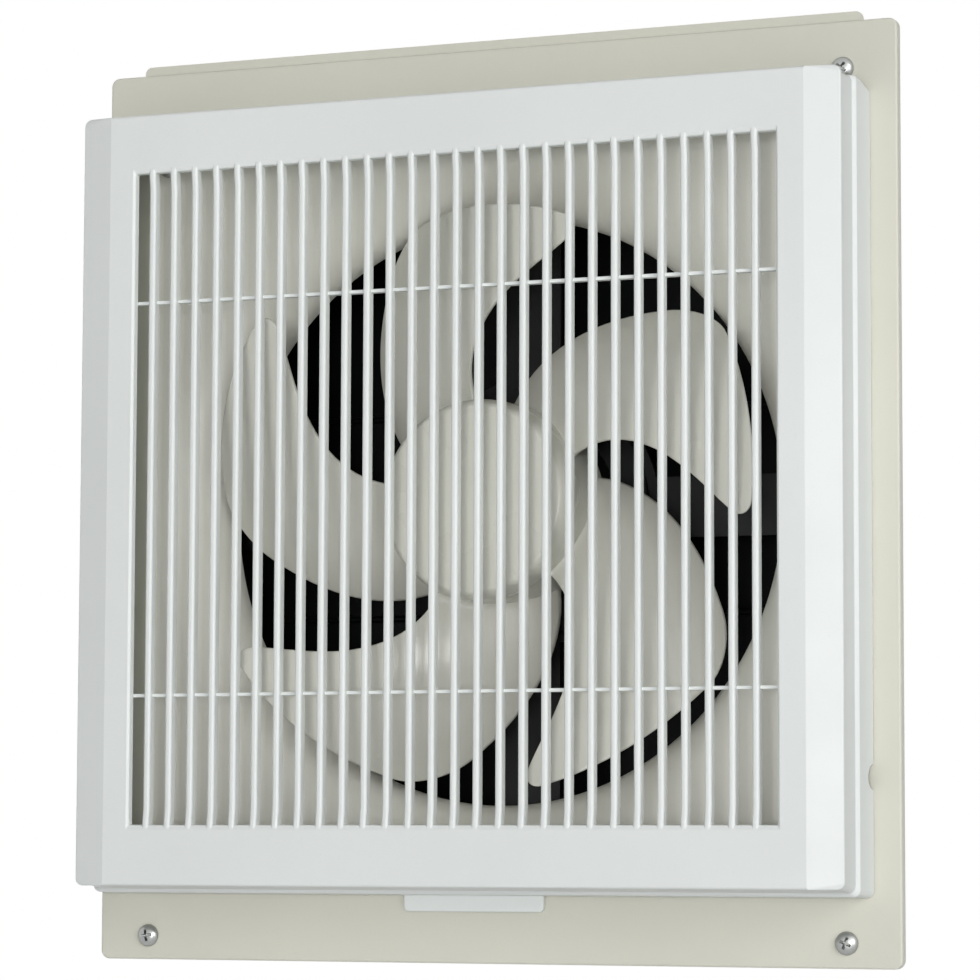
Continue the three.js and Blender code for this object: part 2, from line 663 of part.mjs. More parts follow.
// ================================================================ front cover
// One moulding: bevelled face, lattice of upright bars, stepped skirt, tab and hinge pins.
const RIM_BACK = PLATE_FRONT - WALL_GAP;
{
  const front = COVER_FRONT;
  const bevelY = front + BEVEL_DEPTH;
  const edgeY = bevelY + PANEL_EDGE;
  const groove = PANEL_HALF - GROOVE_IN;
  const grooveBottom = PANEL_BOTTOM + GROOVE_UP;
  const topWall = PANEL_TOP - TOP_WALL_IN;
  const stepY = RIDGE_Y - RIDGE_STEP;
  const rimBottom = PANEL_BOTTOM - RIM_DROP;
  const rimHalf = PANEL_HALF + RIDGE_OUT;
  const r = PANEL_CORNER;
  const shell = loft([
    rectRing(front, FACE_HALF, PANEL_BOTTOM, PANEL_TOP, 0.4),
    rectRing(bevelY, PANEL_HALF, PANEL_BOTTOM, PANEL_TOP, r),
    rectRing(edgeY, PANEL_HALF, PANEL_BOTTOM, PANEL_TOP, r),
    rectRing(edgeY + 0.1, groove, grooveBottom, topWall, r),
    rectRing(stepY, groove + GROOVE_DRAFT, grooveBottom - GROOVE_DROP, topWall, r),
    rectRing(RIDGE_Y, rimHalf, rimBottom, topWall + RIM_FLARE, r),
    rectRing(RIM_BACK, rimHalf + RIM_DRAFT, rimBottom - RIM_DROP_DRAFT, topWall + 1.5 * RIM_FLARE, r),
  ]);
  const w = WALL_T;
  const behind = RIM_BACK + 1;
  const cavity = loft([
    rectRing(front + FACE_T, FACE_HALF - 1, grooveBottom + w, topWall - w, 0.4),
    rectRing(bevelY + FACE_T, groove - w, grooveBottom + w, topWall - w, r - 1),
    rectRing(stepY, groove + GROOVE_DRAFT - w, grooveBottom - GROOVE_DROP + w, topWall - w, r - 1),
    rectRing(RIDGE_Y, rimHalf - w, rimBottom + w, topWall + RIM_FLARE - w, r - 1),
    rectRing(behind, rimHalf + RIM_DRAFT - w, rimBottom - RIM_DROP_DRAFT + w,
      topWall + 1.5 * RIM_FLARE - w, r - 1),
  ]);
  // The rim is cut back on a slant above the hinge, so that the cover can swing.
  const reliefZ = HINGE_Z + 0.4;
  const relief = prismX([
    [RIM_BACK + 1, reliefZ],
    [RIM_BACK + 1, reliefZ + 40],
    [RIDGE_Y - 1.8, reliefZ + 40],
    [RIDGE_Y - 1.8, reliefZ + RELIEF_RISE],
    [RIM_BACK - 0.01, reliefZ],
  ], -PANEL_HALF - 10, PANEL_HALF + 10);

  const openHalf = GRILLE_HALF;
  const opening = loft([
    rectRing(front - 1, openHalf, GRILLE_BOTTOM, GRILLE_TOP, 0.5),
    rectRing(front + FACE_T + 3, openHalf, GRILLE_BOTTOM, GRILLE_TOP, 0.5),
  ]);
  const c = GRILLE_CHAMFER;
  const topEdge = GRILLE_TOP + GRILLE_END_CHAMFER;
  const lowEdge = GRILLE_BOTTOM - GRILLE_END_CHAMFER;
  const chamfer = loft([
    rectRing(front - 0.01, openHalf + c, lowEdge, topEdge, 0.5),
    rectRing(front + c, openHalf, GRILLE_BOTTOM, GRILLE_TOP, 0.5),
    rectRing(front + c + 1, openHalf, GRILLE_BOTTOM, GRILLE_TOP, 0.5),
  ]);
  const bars = [];
  for (let i = 0; i < BARS; i += 1) {
    const x = BAR_SPAN * (i / (BARS - 1) - 0.5);
    const f = BAR_W / 2;
    const b = BAR_W_BACK / 2;
    bars.push(prismZ([
      [x - f, front],
      [x + f, front],
      [x + b, front + BAR_DEPTH],
      [x - b, front + BAR_DEPTH],
    ], lowEdge - 0.4, topEdge + 0.4));
  }
  const ribY = front + CROSS_RIB_SET_BACK;
  const ribs = [GRILLE_TOP - RIB_INSET, GRILLE_BOTTOM + RIB_INSET].map((z) => (
    block(-openHalf - 0.5, openHalf + 0.5, ribY, ribY + CROSS_RIB_DEPTH,
      z - CROSS_RIB_H / 2, z + CROSS_RIB_H / 2)
  ));

  const tabTop = rimBottom + 1;
  const tabBottom = rimBottom - TAB_DROP;
  const tab = slab(
    roundedRect(-TAB_HALF, TAB_HALF, tabBottom, tabTop, TAB_CORNER),
    RIM_BACK - TAB_T,
    RIM_BACK,
  );
  const pins = [-1, 1].map((side) => {
    const inner = side * (EAR_IN - 1);
    const outer = side * (PANEL_HALF - 0.5);
    return rodX(HINGE_Y, HINGE_Z, HINGE_PIN_R, Math.min(inner, outer), Math.max(inner, outer));
  });
  const nibY = PLATE_FRONT - CATCH_REACH / 2;
  const nib = block(-CATCH_HALF, CATCH_HALF, nibY - 1.5, nibY, rimBottom + 1,
    CATCH_LOW - SEAT);
  const notchZ = PANEL_BOTTOM + NOTCH_UP;
  const notch = rodX(RIM_BACK - 0.5, notchZ, NOTCH_R, PANEL_HALF - 6, PANEL_HALF + 8);

  let cover = cut(shell, cavity, relief, opening, chamfer);
  cover = join(cover, bars, ribs, tab, pins, nib);
  place('front_cover', cut(cover, notch), WHITE, [COVER_X, 0, 0]);
}

// Hinge brackets: a foot on the plate and an ear that carries the cover's pin.
for (const [name, side] of SIDES) {
  const span = (a, b) => [Math.min(side * a, side * b), Math.max(side * a, side * b)];
  const y1 = PLATE_FRONT - SEAT;
  const [ex0, ex1] = span(EAR_IN, EAR_IN + EAR_T);
  const [fx0, fx1] = span(EAR_IN - HINGE_BASE_W, EAR_IN + EAR_T);
  const foot = block(fx0, fx1, y1 - HINGE_BASE_T, y1, HINGE_Z - EAR_HALF, HINGE_Z + EAR_HALF);
  const ear = join(
    block(ex0, ex1, HINGE_Y, y1, HINGE_Z - EAR_HALF, HINGE_Z + EAR_HALF - 1),
    rodX(HINGE_Y, HINGE_Z - 0.5, EAR_HALF - 0.5, ex0, ex1),
  );
  const bore = rodX(HINGE_Y, HINGE_Z, HINGE_PIN_R + SEAT, ex0 - 1, ex1 + 1);
  const screwX = side * (EAR_IN - HINGE_BASE_W / 2);
  const hole = rodY(screwX, HINGE_Z, SMALL_HOLE_R, y1 - HINGE_BASE_T - 1, y1 + 1);
  place(`hinge_bracket_${name}`, cut(join(foot, ear), bore, hole), GALVANISED, [COVER_X, 0, 0]);
  const screw = smallScrew(6);
  place(`hinge_screw_${name}`, screw, ZINC, [hingeScrewX(side), y1 - HINGE_BASE_T - SEAT, HINGE_Z]);
}

// Catch: a springy tongue under the orifice panel that the cover's nib slips over.
{
  const y1 = PLATE_FRONT - SEAT;
  const z = CATCH_Z;
  const ears = CATCH_HALF + CATCH_EAR;
  const foot = block(-ears, ears, y1 - CATCH_T, y1, z - CATCH_FOOT_HALF, z + CATCH_FOOT_HALF);
  const top = z + CATCH_FOOT_HALF;
  const tongue = block(-CATCH_HALF, CATCH_HALF, y1 - CATCH_REACH, y1, top - CATCH_T, top);
  const bump = rodX(y1 - CATCH_REACH + CATCH_BUMP, CATCH_LOW + CATCH_BUMP, CATCH_BUMP,
    -CATCH_HALF, CATCH_HALF, 8);
  const holes = SIDES.map(([, side]) => (
    rodY(side * CATCH_SCREW, z, SMALL_HOLE_R, y1 - CATCH_T - 1, y1 + 1)
  ));
  place('cover_catch', cut(join(foot, tongue, bump), holes), STEEL, [COVER_X, 0, 0]);
  for (const [name, side] of SIDES) {
    const screw = panScrew(CATCH_HEAD_R, CATCH_HEAD_H, SMALL_SHANK_R, 5);
    const at = [COVER_X + side * CATCH_SCREW, y1 - CATCH_T - SEAT, z];
    place(`catch_screw_${name}`, screw, ZINC, at);
  }
}

// ================================================================ fan wheel
/** Half-angle taken off a blade edge near the tip so that its corner is round. */
function cornerTrim(radius, round) {
  const into = radius - (WHEEL_R - round);
  if (into <= 0) return 0;
  const t = Math.min(into / round, 1);
  return (round * (1 - Math.sqrt(1 - t * t))) / radius;
}

/** One section of a blade, wrapped on a cylinder of the given radius. */
function bladeSection(radius, root) {
  const t = Math.min((radius - root) / (WHEEL_R - root), 1);
  const lead = rad(cubic(LEAD_ANGLES, t)) - cornerTrim(radius, LEAD_TIP_ROUND);
  const trail = rad(cubic(TRAIL_ANGLES, t)) + cornerTrim(radius, TRAIL_TIP_ROUND);
  const leadY = THREE.MathUtils.lerp(LEAD_Y_ROOT, LEAD_Y_TIP, t);
  const trailY = THREE.MathUtils.lerp(TRAIL_Y_ROOT, TRAIL_Y_TIP, t);
  const fullLead = rad(cubic(LEAD_ANGLES, t));
  const fullTrail = rad(cubic(TRAIL_ANGLES, t));
  const chord = radius * (fullLead - fullTrail);
  const thick = THREE.MathUtils.lerp(BLADE_T_ROOT, BLADE_T_TIP, t);
  const steps = 5;
  const front = [];
  const back = [];
  for (let i = 0; i <= steps; i += 1) {
    const u = i / steps;
    const angle = THREE.MathUtils.lerp(lead, trail, u);
    const share = (fullLead - angle) / (fullLead - fullTrail);
    const bow = BLADE_CAMBER * chord * 4 * share * (1 - share);
    const y = THREE.MathUtils.lerp(leadY, trailY, share) - bow;
    const half = thick * (0.22 + 0.28 * Math.sqrt(4 * u * (1 - u)));
    const x = radius * Math.sin(angle);
    const z = radius * Math.cos(angle);
    front.push(new THREE.Vector3(x, y - half, z));
    back.push(new THREE.Vector3(x, y + half, z));
  }
  return [...front, ...back.reverse()];
}

{
  const root = HUB_R - HUB_WALL / 2;
  const radii = [];
  const plain = 7;
  const inner = WHEEL_R - TRAIL_TIP_ROUND;
  for (let i = 0; i <= plain; i += 1) radii.push(THREE.MathUtils.lerp(root, inner, i / plain));
  const tips = 4;
  for (let i = 1; i <= tips; i += 1) {
    radii.push(inner + TRAIL_TIP_ROUND * Math.sin((Math.PI / 2) * (i / tips)));
  }
  const blade = loft(radii.map((radius) => bladeSection(radius, root)));
  const blades = [];
  for (let k = 0; k < BLADES; k += 1) {
    blades.push(blade.rotate([0, (360 / BLADES) * k, 0]));
  }
  const pocketR = CAP_R + HUB_POCKET_GAP;
  const face = HUB_FRONT + HUB_POCKET_DEPTH;
  const rear = HUB_FRONT + HUB_DEPTH;
  const outR = HUB_R + HUB_FLARE;
  const edge = [0, 1, 2, 3].map((i) => {
    const a = (Math.PI / 2) * (i / 3);
    return [HUB_R - HUB_EDGE + HUB_EDGE * Math.sin(a), HUB_FRONT + HUB_EDGE - HUB_EDGE * Math.cos(a)];
  });
  const bore = SHAFT_R + SEAT;
  const hub = revolve([
    [pocketR, HUB_FRONT + 0.6],
    [pocketR + 0.8, HUB_FRONT],
    ...edge,
    [outR, rear],
    [outR - HUB_WALL, rear],
    [HUB_R - HUB_WALL, HUB_FRONT + HUB_EDGE + 1],
    [HUB_R - HUB_WALL - 1, face + HUB_WALL],
    [BOSS_R, face + HUB_WALL],
    [BOSS_R, rear - 1],
    [bore, rear - 1],
    [bore, face],
    [pocketR, face],
  ], ROUND);
  const webs = [];
  for (let k = 0; k < BLADES; k += 1) {
    const web = block(BOSS_R - 1, HUB_R - 1.5, face + 1, rear - 5, -WEB_T / 2, WEB_T / 2);
    webs.push(web.rotate([0, (360 / BLADES) * (k + 0.5), 0]));
  }
  const slot = block(-BOSS_R - 1, BOSS_R + 1, rear - 4.4, rear + 1, -DRIVE_PIN_R - SEAT, DRIVE_PIN_R + SEAT);
  place('fan_wheel', cut(join(hub, webs, blades), slot), CREAM);
}

// Spinner cap: screws on to the shaft's end and holds the wheel.
{
  const front = HUB_FRONT - CAP_RISE;
  const skirt = HUB_FRONT + HUB_POCKET_DEPTH - SEAT;
  const bore = SHAFT_R + SEAT;
  const cap = revolve([
    [0, front - 0.5],
    [0.72 * CAP_R, front - 0.3],
    [CAP_R - CAP_WALL, front],
    [CAP_R - 0.6, front + 0.6],
    [CAP_R, front + 1.8],
    [CAP_R, skirt],
    [CAP_R - CAP_WALL, skirt],
    [CAP_R - CAP_WALL, front + CAP_WALL],
    [BOSS_R - 1, front + CAP_WALL],
    [BOSS_R - 1, skirt],
    [bore, skirt],
    [bore, front + CAP_WALL],
    [0, front + CAP_WALL],
  ], ROUND);
  place('spinner_cap', cap, CREAM);
}

// ================================================================ motor
{
  const front = HUB_FRONT - CAP_RISE + CAP_WALL + SEAT;
  const pinY = HUB_FRONT + HUB_DEPTH - 2.6;
  const shaft = rodY(0, 0, SHAFT_R, front, MOTOR_REAR - SHELL_T - SEAT, SMALL + 2);
  const crossHole = rodX(pinY, 0, DRIVE_PIN_R + SEAT, -SHAFT_R - 1, SHAFT_R + 1);
  place('motor_shaft', cut(shaft, crossHole), STEEL);
  place('drive_pin', rodX(pinY, 0, DRIVE_PIN_R, -BOSS_R, BOSS_R), STEEL);
}

/** Pressed motor shell, open to the split, with a pocket for its bearing. */
function motorShell(y0, y1, toward) {
  const p = (d) => y0 + toward * d;
  const pocket = BEARING_R + SEAT;
  const depth = Math.abs(y1 - y0);
  const hole = SHAFT_R + 1.6;
  const profile = [
    [hole, p(0)],
    [MOTOR_R - 4, p(0)],
    [MOTOR_R - 1, p(1.2)],
    [MOTOR_R, p(4)],
    [MOTOR_R, p(depth - FLANGE_T)],
    [FLANGE_R, p(depth - FLANGE_T)],
    [FLANGE_R, p(depth)],
    [MOTOR_R - SHELL_T, p(depth)],
    [MOTOR_R - SHELL_T, p(4.5)],
    [MOTOR_R - 5, p(SHELL_T)],
    [pocket + 2, p(SHELL_T)],
    [pocket + 2, p(SHELL_T + BEARING_W)],
    [pocket, p(SHELL_T + BEARING_W)],
    [pocket, p(SHELL_T)],
    [hole, p(SHELL_T)],
  ];
  const shell = revolve(profile, PLAIN);
  const holes = diagonal(MOTOR_SCREW_R).map(([x, z]) => (
    rodY(x, z, SMALL_HOLE_R, Math.min(y0, y1) - 1, Math.max(y0, y1) + 1)
  ));
  return cut(shell, holes);
}

place('motor_shell_front', motorShell(MOTOR_FRONT, MOTOR_SPLIT, 1), BLACK_PAINT);
place('motor_shell_rear', motorShell(MOTOR_REAR, MOTOR_SPLIT + SEAT, -1), BLACK_PAINT);

/** Plain sintered bearing. */
function bearing(y0) {
  const y1 = y0 + BEARING_W - SEAT;
  const bore = SHAFT_R + SEAT;
  return revolve([[bore, y0], [BEARING_R, y0], [BEARING_R, y1], [bore, y1]], PLAIN);
}

place('motor_bearing_front', bearing(MOTOR_FRONT + SHELL_T + SEAT), STEEL);
place('motor_bearing_rear', bearing(MOTOR_REAR - SHELL_T - BEARING_W), STEEL);

const STATOR_Y0 = MOTOR_SPLIT - STATOR_L / 2;
{
  const out = MOTOR_R - SHELL_T - SEAT;
  const inner = ROTOR_R + AIR_GAP;
  const y1 = STATOR_Y0 + STATOR_L;
  let core = revolve([[inner, STATOR_Y0], [out, STATOR_Y0], [out, y1], [inner, y1]], PLAIN);
  for (let k = 0; k < STATOR_SLOTS; k += 1) {
    const mouth = block(inner - 2, inner + SLOT_R, STATOR_Y0 - 1, y1 + 1, -1, 1);
    const slot = rodY(inner + 1.8 * SLOT_R, 0, SLOT_R, STATOR_Y0 - 1, y1 + 1);
    core = cut(core, join(mouth, slot).rotate([0, (360 / STATOR_SLOTS) * (k + 0.5), 0]));
  }
  place('stator_core', core, DARK_STEEL);
  const coil = (y0) => revolve([
    [inner + 2, y0 + 1.5], [inner + 3.5, y0], [out - 4.5, y0], [out - 3, y0 + 1.5],
    [out - 3, y0 + COIL_L], [inner + 2, y0 + COIL_L],
  ], PLAIN);
  place('stator_coil_front', coil(STATOR_Y0 - SEAT - COIL_L), COPPER);
  place('stator_coil_rear', coil(0).rotate([180, 0, 0]).translate([0, y1 + SEAT + COIL_L, 0]), COPPER);
  const bore = SHAFT_R + SEAT;
  const ringOut = ROTOR_R - 1;
  const ringIn = ringOut - END_RING_W;
  const ringY0 = STATOR_Y0 - END_RING_T;
  const ringY1 = y1 + END_RING_T;
  const rotor = revolve([
    [bore, STATOR_Y0], [ringIn, STATOR_Y0], [ringIn, ringY0], [ringOut, ringY0],
    [ringOut, STATOR_Y0], [ROTOR_R, STATOR_Y0], [ROTOR_R, y1], [ringOut, y1],
    [ringOut, ringY1], [ringIn, ringY1], [ringIn, y1], [bore, y1],
  ], PLAIN);
  place('rotor_core', rotor, DARK_STEEL);
}

// ================================================================ motor bracket
// Pressed cross behind the motor's flange, with its four feet bent along the sleeve.
{
  const y0 = BRACKET_Y;
  const y1 = y0 + BRACKET_T;
  const reach = SLEEVE_IN - SEAT;
  const a = ARM_W / 2;
  const ringR = MOTOR_R + BRACKET_RING_W;
  const ring = rodY(0, 0, ringR, y0, y1, PLAIN);
  const arms = [block(-reach, reach, y0, y1, -a, a), block(-a, a, y0, y1, -reach, reach)];
  const feet = [
    block(-reach, -reach + BRACKET_T, y0, y0 + FOOT_DEPTH, -a, a),
    block(reach - BRACKET_T, reach, y0, y0 + FOOT_DEPTH, -a, a),
    block(-a, a, y0, y0 + FOOT_DEPTH, -reach, -reach + BRACKET_T),
    block(-a, a, y0, y0 + FOOT_DEPTH, reach - BRACKET_T, reach),
  ];
  // A raised bead runs down each arm and stiffens it.
  const bead = ringR + 4;
  const beadEnd = reach - 12;
  const beadTop = y1 + BEAD_RISE;
  const bw = BEAD_W / 2;
  const beads = [
    block(-beadEnd, -bead, y1 - 0.5, beadTop, -bw, bw),
    block(bead, beadEnd, y1 - 0.5, beadTop, -bw, bw),
    block(-bw, bw, y1 - 0.5, beadTop, -beadEnd, -bead),
    block(-bw, bw, y1 - 0.5, beadTop, bead, beadEnd),
  ];
  const bore = rodY(0, 0, MOTOR_R + 1, y0 - 1, y1 + 1, PLAIN);
  const holes = diagonal(MOTOR_SCREW_R).map(([x, z]) => rodY(x, z, SMALL_HOLE_R, y0 - 1, y1 + 1));
  const footHoles = [
    rodX(footScrewY, 0, SMALL_HOLE_R, -reach - 1, reach + 1),
    rodZ(0, footScrewY, SMALL_HOLE_R, -reach - 1, reach + 1),
  ];
  place('motor_bracket', cut(join(ring, arms, feet, beads), bore, holes, footHoles), BLACK_PAINT);
}

{
  const head = MOTOR_SPLIT - FLANGE_T - SEAT;
  diagonal(MOTOR_SCREW_R).forEach(([x, z], i) => {
    const screw = smallScrew(9);
    place(`motor_screw_${CORNERS[i]}`, screw, ZINC, [x, head, z]);
  });
  // Screws through the sleeve into the bracket's feet, heads outside.
  const out = SLEEVE_IN + SLEEVE_T + SEAT;
  const turns = [
    ['top', [0, footScrewY, out], [Math.PI * 1.5, 0, 0]],
    ['bottom', [0, footScrewY, -out], [Math.PI / 2, 0, 0]],
    ['left', [-out, footScrewY, 0], [0, 0, -Math.PI / 2]],
    ['right', [out, footScrewY, 0], [0, 0, Math.PI / 2]],
  ];
  for (const [tag, at, turn] of turns) {
    const screw = smallScrew(6.5);
    place(`bracket_screw_${tag}`, screw, ZINC, at).rotation.set(...turn);
  }
}

// ================================================================ wiring parts
{
  const t = TERMINAL_T;
  const { x0, x1, z0, z1 } = terminal;
  const lidY = TERMINAL_Y1 - t;
  let box = block(x0, x1, TERMINAL_Y0, lidY, z0, z1);
  box = cut(box, block(x0 + t, x1 - t, TERMINAL_Y0 + t, lidY + 1, z0 + t, z1 - t));
  box = join(box, block(x0 + t - 0.5, x0 + 7, TERMINAL_Y0, lidY, z1 - 7, z1 - t + 0.5));
  box = cut(
    box,
    rodY(x0 + 4, z1 - 4, SMALL_HOLE_R, lidY - 8, lidY + 1),
    rodZ(bushingAt.x, bushingAt.y, BUSHING_R, z0 - 1, z0 + t + 1, PLAIN),
  );
  place('terminal_box', box, BLACK_PAINT);
  let lid = block(x0, x1, lidY + SEAT, lidY + SEAT + t, z0, z1);
  lid = cut(lid, rodY(x0 + 4, z1 - 4, SMALL_HOLE_R, lidY, lidY + t + 1));
  place('terminal_lid', lid, BLACK_PAINT);
  const screw = smallScrew(7).rotate([180, 0, 0]);
  place('terminal_lid_screw', screw, ZINC, [x0 + 4, lidY + 2 * SEAT + t, z1 - 4]);
  // Terminal block: a moulded strip with three wire wells.
  const bx0 = x0 + t + 6;
  const bx1 = x1 - t - 4;
  const by0 = TERMINAL_Y0 + t + SEAT;
  const bz1 = z1 - t - 8;
  const bz0 = bz1 - BLOCK_H;
  let strip = block(bx0, bx1, by0, by0 + BLOCK_DEPTH, bz0, bz1);
  const well = (bx1 - bx0) / 3;
  for (let k = 0; k < 3; k += 1) {
    const x = bx0 + well * (k + 0.5);
    const half = 0.3 * well;
    strip = cut(strip, block(x - half, x + half, by0 + 4, by0 + BLOCK_DEPTH + 1, bz0 + 1.5, bz1 - 1.5));
  }
  place('terminal_block', strip, GREY_PLASTIC);
  // Bushing in the hole through the box and the sleeve.
  const top = z0 + t + SEAT;
  const low = -SLEEVE_IN - SLEEVE_T - SEAT;
  const lip = BUSHING_LIP;
  const bushing = revolve([
    [BUSHING_BORE, low - lip], [BUSHING_R + lip, low - lip], [BUSHING_R + lip, low],
    [BUSHING_R - SEAT, low], [BUSHING_R - SEAT, top], [BUSHING_R + lip, top],
    [BUSHING_R + lip, top + lip], [BUSHING_BORE, top + lip],
  ], PLAIN);
  place('cord_bushing', bushing.rotate([90, 0, 0]), RUBBER, [bushingAt.x, bushingAt.y, 0]);
}

{
  const y0 = TERMINAL_Y0;
  const y1 = y0 + CAPACITOR_L;
  const r = CAPACITOR_R;
  const can = revolve([
    [0, y0], [r - 1, y0], [r, y0 + 1], [r, y1 - 2], [r - 1, y1 - 1], [r - 3, y1 - 1],
    [r - 3, y1], [0, y1],
  ], PLAIN);
  place('run_capacitor', can, STEEL, [-CAPACITOR_AT, 0, -CAPACITOR_AT]);
  // Band round the can, drawn down to a foot on the sleeve.
  const inR = r + SEAT;
  const bandT = CLAMP_T;
  const half = CLAMP_HALF;
  const cy = CLAMP_Y;
  const floor = -SLEEVE_IN + SEAT;
  const band = revolve([
    [inR, cy - half], [inR + bandT, cy - half], [inR + bandT, cy + half], [inR, cy + half],
  ], PLAIN).translate([-CAPACITOR_AT, 0, -CAPACITOR_AT]);
  const right = -CLAMP_SCREW + 6;
  const foot = block(-CAPACITOR_AT, right, cy - half, cy + half, floor, floor + bandT);
  const web = block(-CAPACITOR_AT - 3, -CAPACITOR_AT + 3, cy - half, cy + half,
    floor, -CAPACITOR_AT - inR - 0.4);
  const hole = rodZ(-CLAMP_SCREW, cy, SMALL_HOLE_R, floor - 1, floor + bandT + 1);
  place('capacitor_clamp', cut(join(band, foot, web), hole), BLACK_PAINT);
  const screw = smallScrew(4).rotate([-90, 0, 0]);
  place('clamp_screw', screw, ZINC, [-CLAMP_SCREW, cy, floor + bandT + SEAT]);
}

// ================================================================ shutter
const louvreZ = (k) => LOUVRE_TOP - LOUVRE_PITCH * k;
{
  const o = SHUTTER_OUT;
  const w = SHUTTER_WALL;
  const rect = (x, z0, z1, r) => roundedRect(-x, x, z0, z1, r);
  const walls = cut(
    slab(rect(o, -o, o, 3), SHUTTER_Y0, SHUTTER_Y1),
    slab(rect(o - w, -o + w, o - w, 2), SHUTTER_Y0 - 1, SHUTTER_Y1 + 1),
  );
  const stopTop = LOUVRE_TOP + 2.8;
  const stop = cut(
    slab(rect(o - 0.5, -o + 0.5, o - 0.5, 3), SHUTTER_Y0, SHUTTER_Y0 + w),
    slab(rect(SHUTTER_STOP, -SHUTTER_STOP, stopTop, 3), SHUTTER_Y0 - 1, SHUTTER_Y0 + w + 1),
  );
  const lastLow = louvreZ(LOUVRES - 1) - LOUVRE_LEN;
  const sill = block(-SHUTTER_STOP, SHUTTER_STOP, SHUTTER_Y0, LOUVRE_Y + 2.2, lastLow - 3, lastLow + 1.5);
  const holes = [];
  for (let k = 0; k < LOUVRES; k += 1) {
    holes.push(rodX(LOUVRE_Y, louvreZ(k), LOUVRE_PIN_R + SEAT, -o - 1, o + 1));
  }
  place('shutter_frame', cut(join(walls, stop, sill), holes), BLACK);
}

/** One louvre hanging from its hem, modelled about its own pivot. */
function louvre() {
  const t = LOUVRE_T;
  const n = 5;
  const back = [];
  const face = [];
  for (let i = 0; i <= n; i += 1) {
    const u = i / n;
    const crown = LOUVRE_CROWN * Math.sin(Math.PI * u);
    const y = LOUVRE_LEAN * u + crown;
    const z = -LOUVRE_LEN * u;
    face.push([y - t / 2, z]);
    back.push([y + t / 2, z]);
  }
  const lipBack = LOUVRE_LEAN + LOUVRE_LIP;
  const outline = [
    ...face,
    [lipBack, -LOUVRE_LEN - t],
    [lipBack, -LOUVRE_LEN],
    ...back.reverse().slice(1),
  ];
  const leaf = prismX(outline, -LOUVRE_HALF, LOUVRE_HALF);
  const hem = rodX(0, 0, LOUVRE_HEM, -LOUVRE_HALF, LOUVRE_HALF, 8);
  const pin = rodX(0, 0, LOUVRE_PIN_R, -SHUTTER_OUT + SEAT, SHUTTER_OUT - SEAT);
  const aw = LINK_ARM_W / 2;
  const arm = block(LINK_X, LINK_X + LINK_T, -LINK_ARM - LINK_ARM_END, 0, -aw, aw);
  const stub = rodX(-LINK_ARM, 0, LINK_PIN_R, LINK_X, LINK_X + 2 * LINK_T + 2);
  return join(leaf, hem, pin, arm, stub);
}

['upper', 'middle', 'lower'].slice(0, LOUVRES).forEach((tag, k) => {
  place(`shutter_louvre_${tag}`, louvre(), BLACK, [0, LOUVRE_Y, louvreZ(k)]);
});

{
  const x0 = LINK_X + LINK_T + SEAT;
  const y = LOUVRE_Y - LINK_ARM;
  const low = louvreZ(LOUVRES - 1) - 5;
  const high = louvreZ(0) + 4;
  const bar = block(x0, x0 + LINK_T, y - LINK_W / 2, y + LINK_W / 2, low, high);
  const holes = [];
  for (let k = 0; k < LOUVRES; k += 1) {
    holes.push(rodX(y, louvreZ(k), LINK_PIN_R + SEAT + 0.1, x0 - 1, x0 + LINK_T + 1));
  }
  place('shutter_link', cut(bar, holes), BLACK);
}

export default model;
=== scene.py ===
"""Window exhaust fan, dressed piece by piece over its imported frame.

Lengths in the classes are millimetres in the frame's own axes: +Z up, +Y out of doors along
the air flow, the room on the -Y side, the origin on the fan's axis in the wall plane.
"""

import logging  # noqa: E402
import math  # noqa: E402
from dataclasses import dataclass, field  # noqa: E402
from enum import Enum  # noqa: E402
from typing import Optional, Sequence, Union  # noqa: E402

import bmesh  # noqa: E402
import bpy  # noqa: E402
from mathutils import Matrix, Vector  # noqa: E402


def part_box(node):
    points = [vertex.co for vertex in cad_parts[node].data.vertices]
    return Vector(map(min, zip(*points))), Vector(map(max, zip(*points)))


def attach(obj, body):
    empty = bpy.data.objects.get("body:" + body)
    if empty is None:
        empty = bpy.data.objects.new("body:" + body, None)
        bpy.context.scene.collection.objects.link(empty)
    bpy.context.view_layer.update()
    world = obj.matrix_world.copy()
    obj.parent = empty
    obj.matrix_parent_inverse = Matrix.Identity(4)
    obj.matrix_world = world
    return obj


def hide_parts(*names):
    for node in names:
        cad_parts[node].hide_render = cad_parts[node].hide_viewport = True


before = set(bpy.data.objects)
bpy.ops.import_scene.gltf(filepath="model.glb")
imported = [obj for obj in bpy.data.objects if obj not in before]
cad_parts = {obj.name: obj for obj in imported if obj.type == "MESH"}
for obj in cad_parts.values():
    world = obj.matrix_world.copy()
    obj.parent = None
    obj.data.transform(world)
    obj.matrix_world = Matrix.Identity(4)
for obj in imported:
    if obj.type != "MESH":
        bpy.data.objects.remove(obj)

LOG = logging.getLogger("exhaust_fan")
MM = 0.001
TAU = 2 * math.pi

Colour = tuple[float, float, float]
Pair = tuple[float, float]
Ring = list[Vector]
Feed = Union[float, tuple, bpy.types.NodeSocket]


class Body(Enum):
    """Bodies of the frame that pieces ride on."""

    FRAME = "frame"
    ROTOR = "rotor"
    COVER = "cover"
    LOUVRE_UPPER = "louvre_upper"
    LOUVRE_MIDDLE = "louvre_middle"
    LOUVRE_LOWER = "louvre_lower"
    LINK = "link"


class Cut(Enum):
    """What one solid does to another."""

    ADD = "UNION"
    REMOVE = "DIFFERENCE"


# ---------------------------------------------------------------- finishes

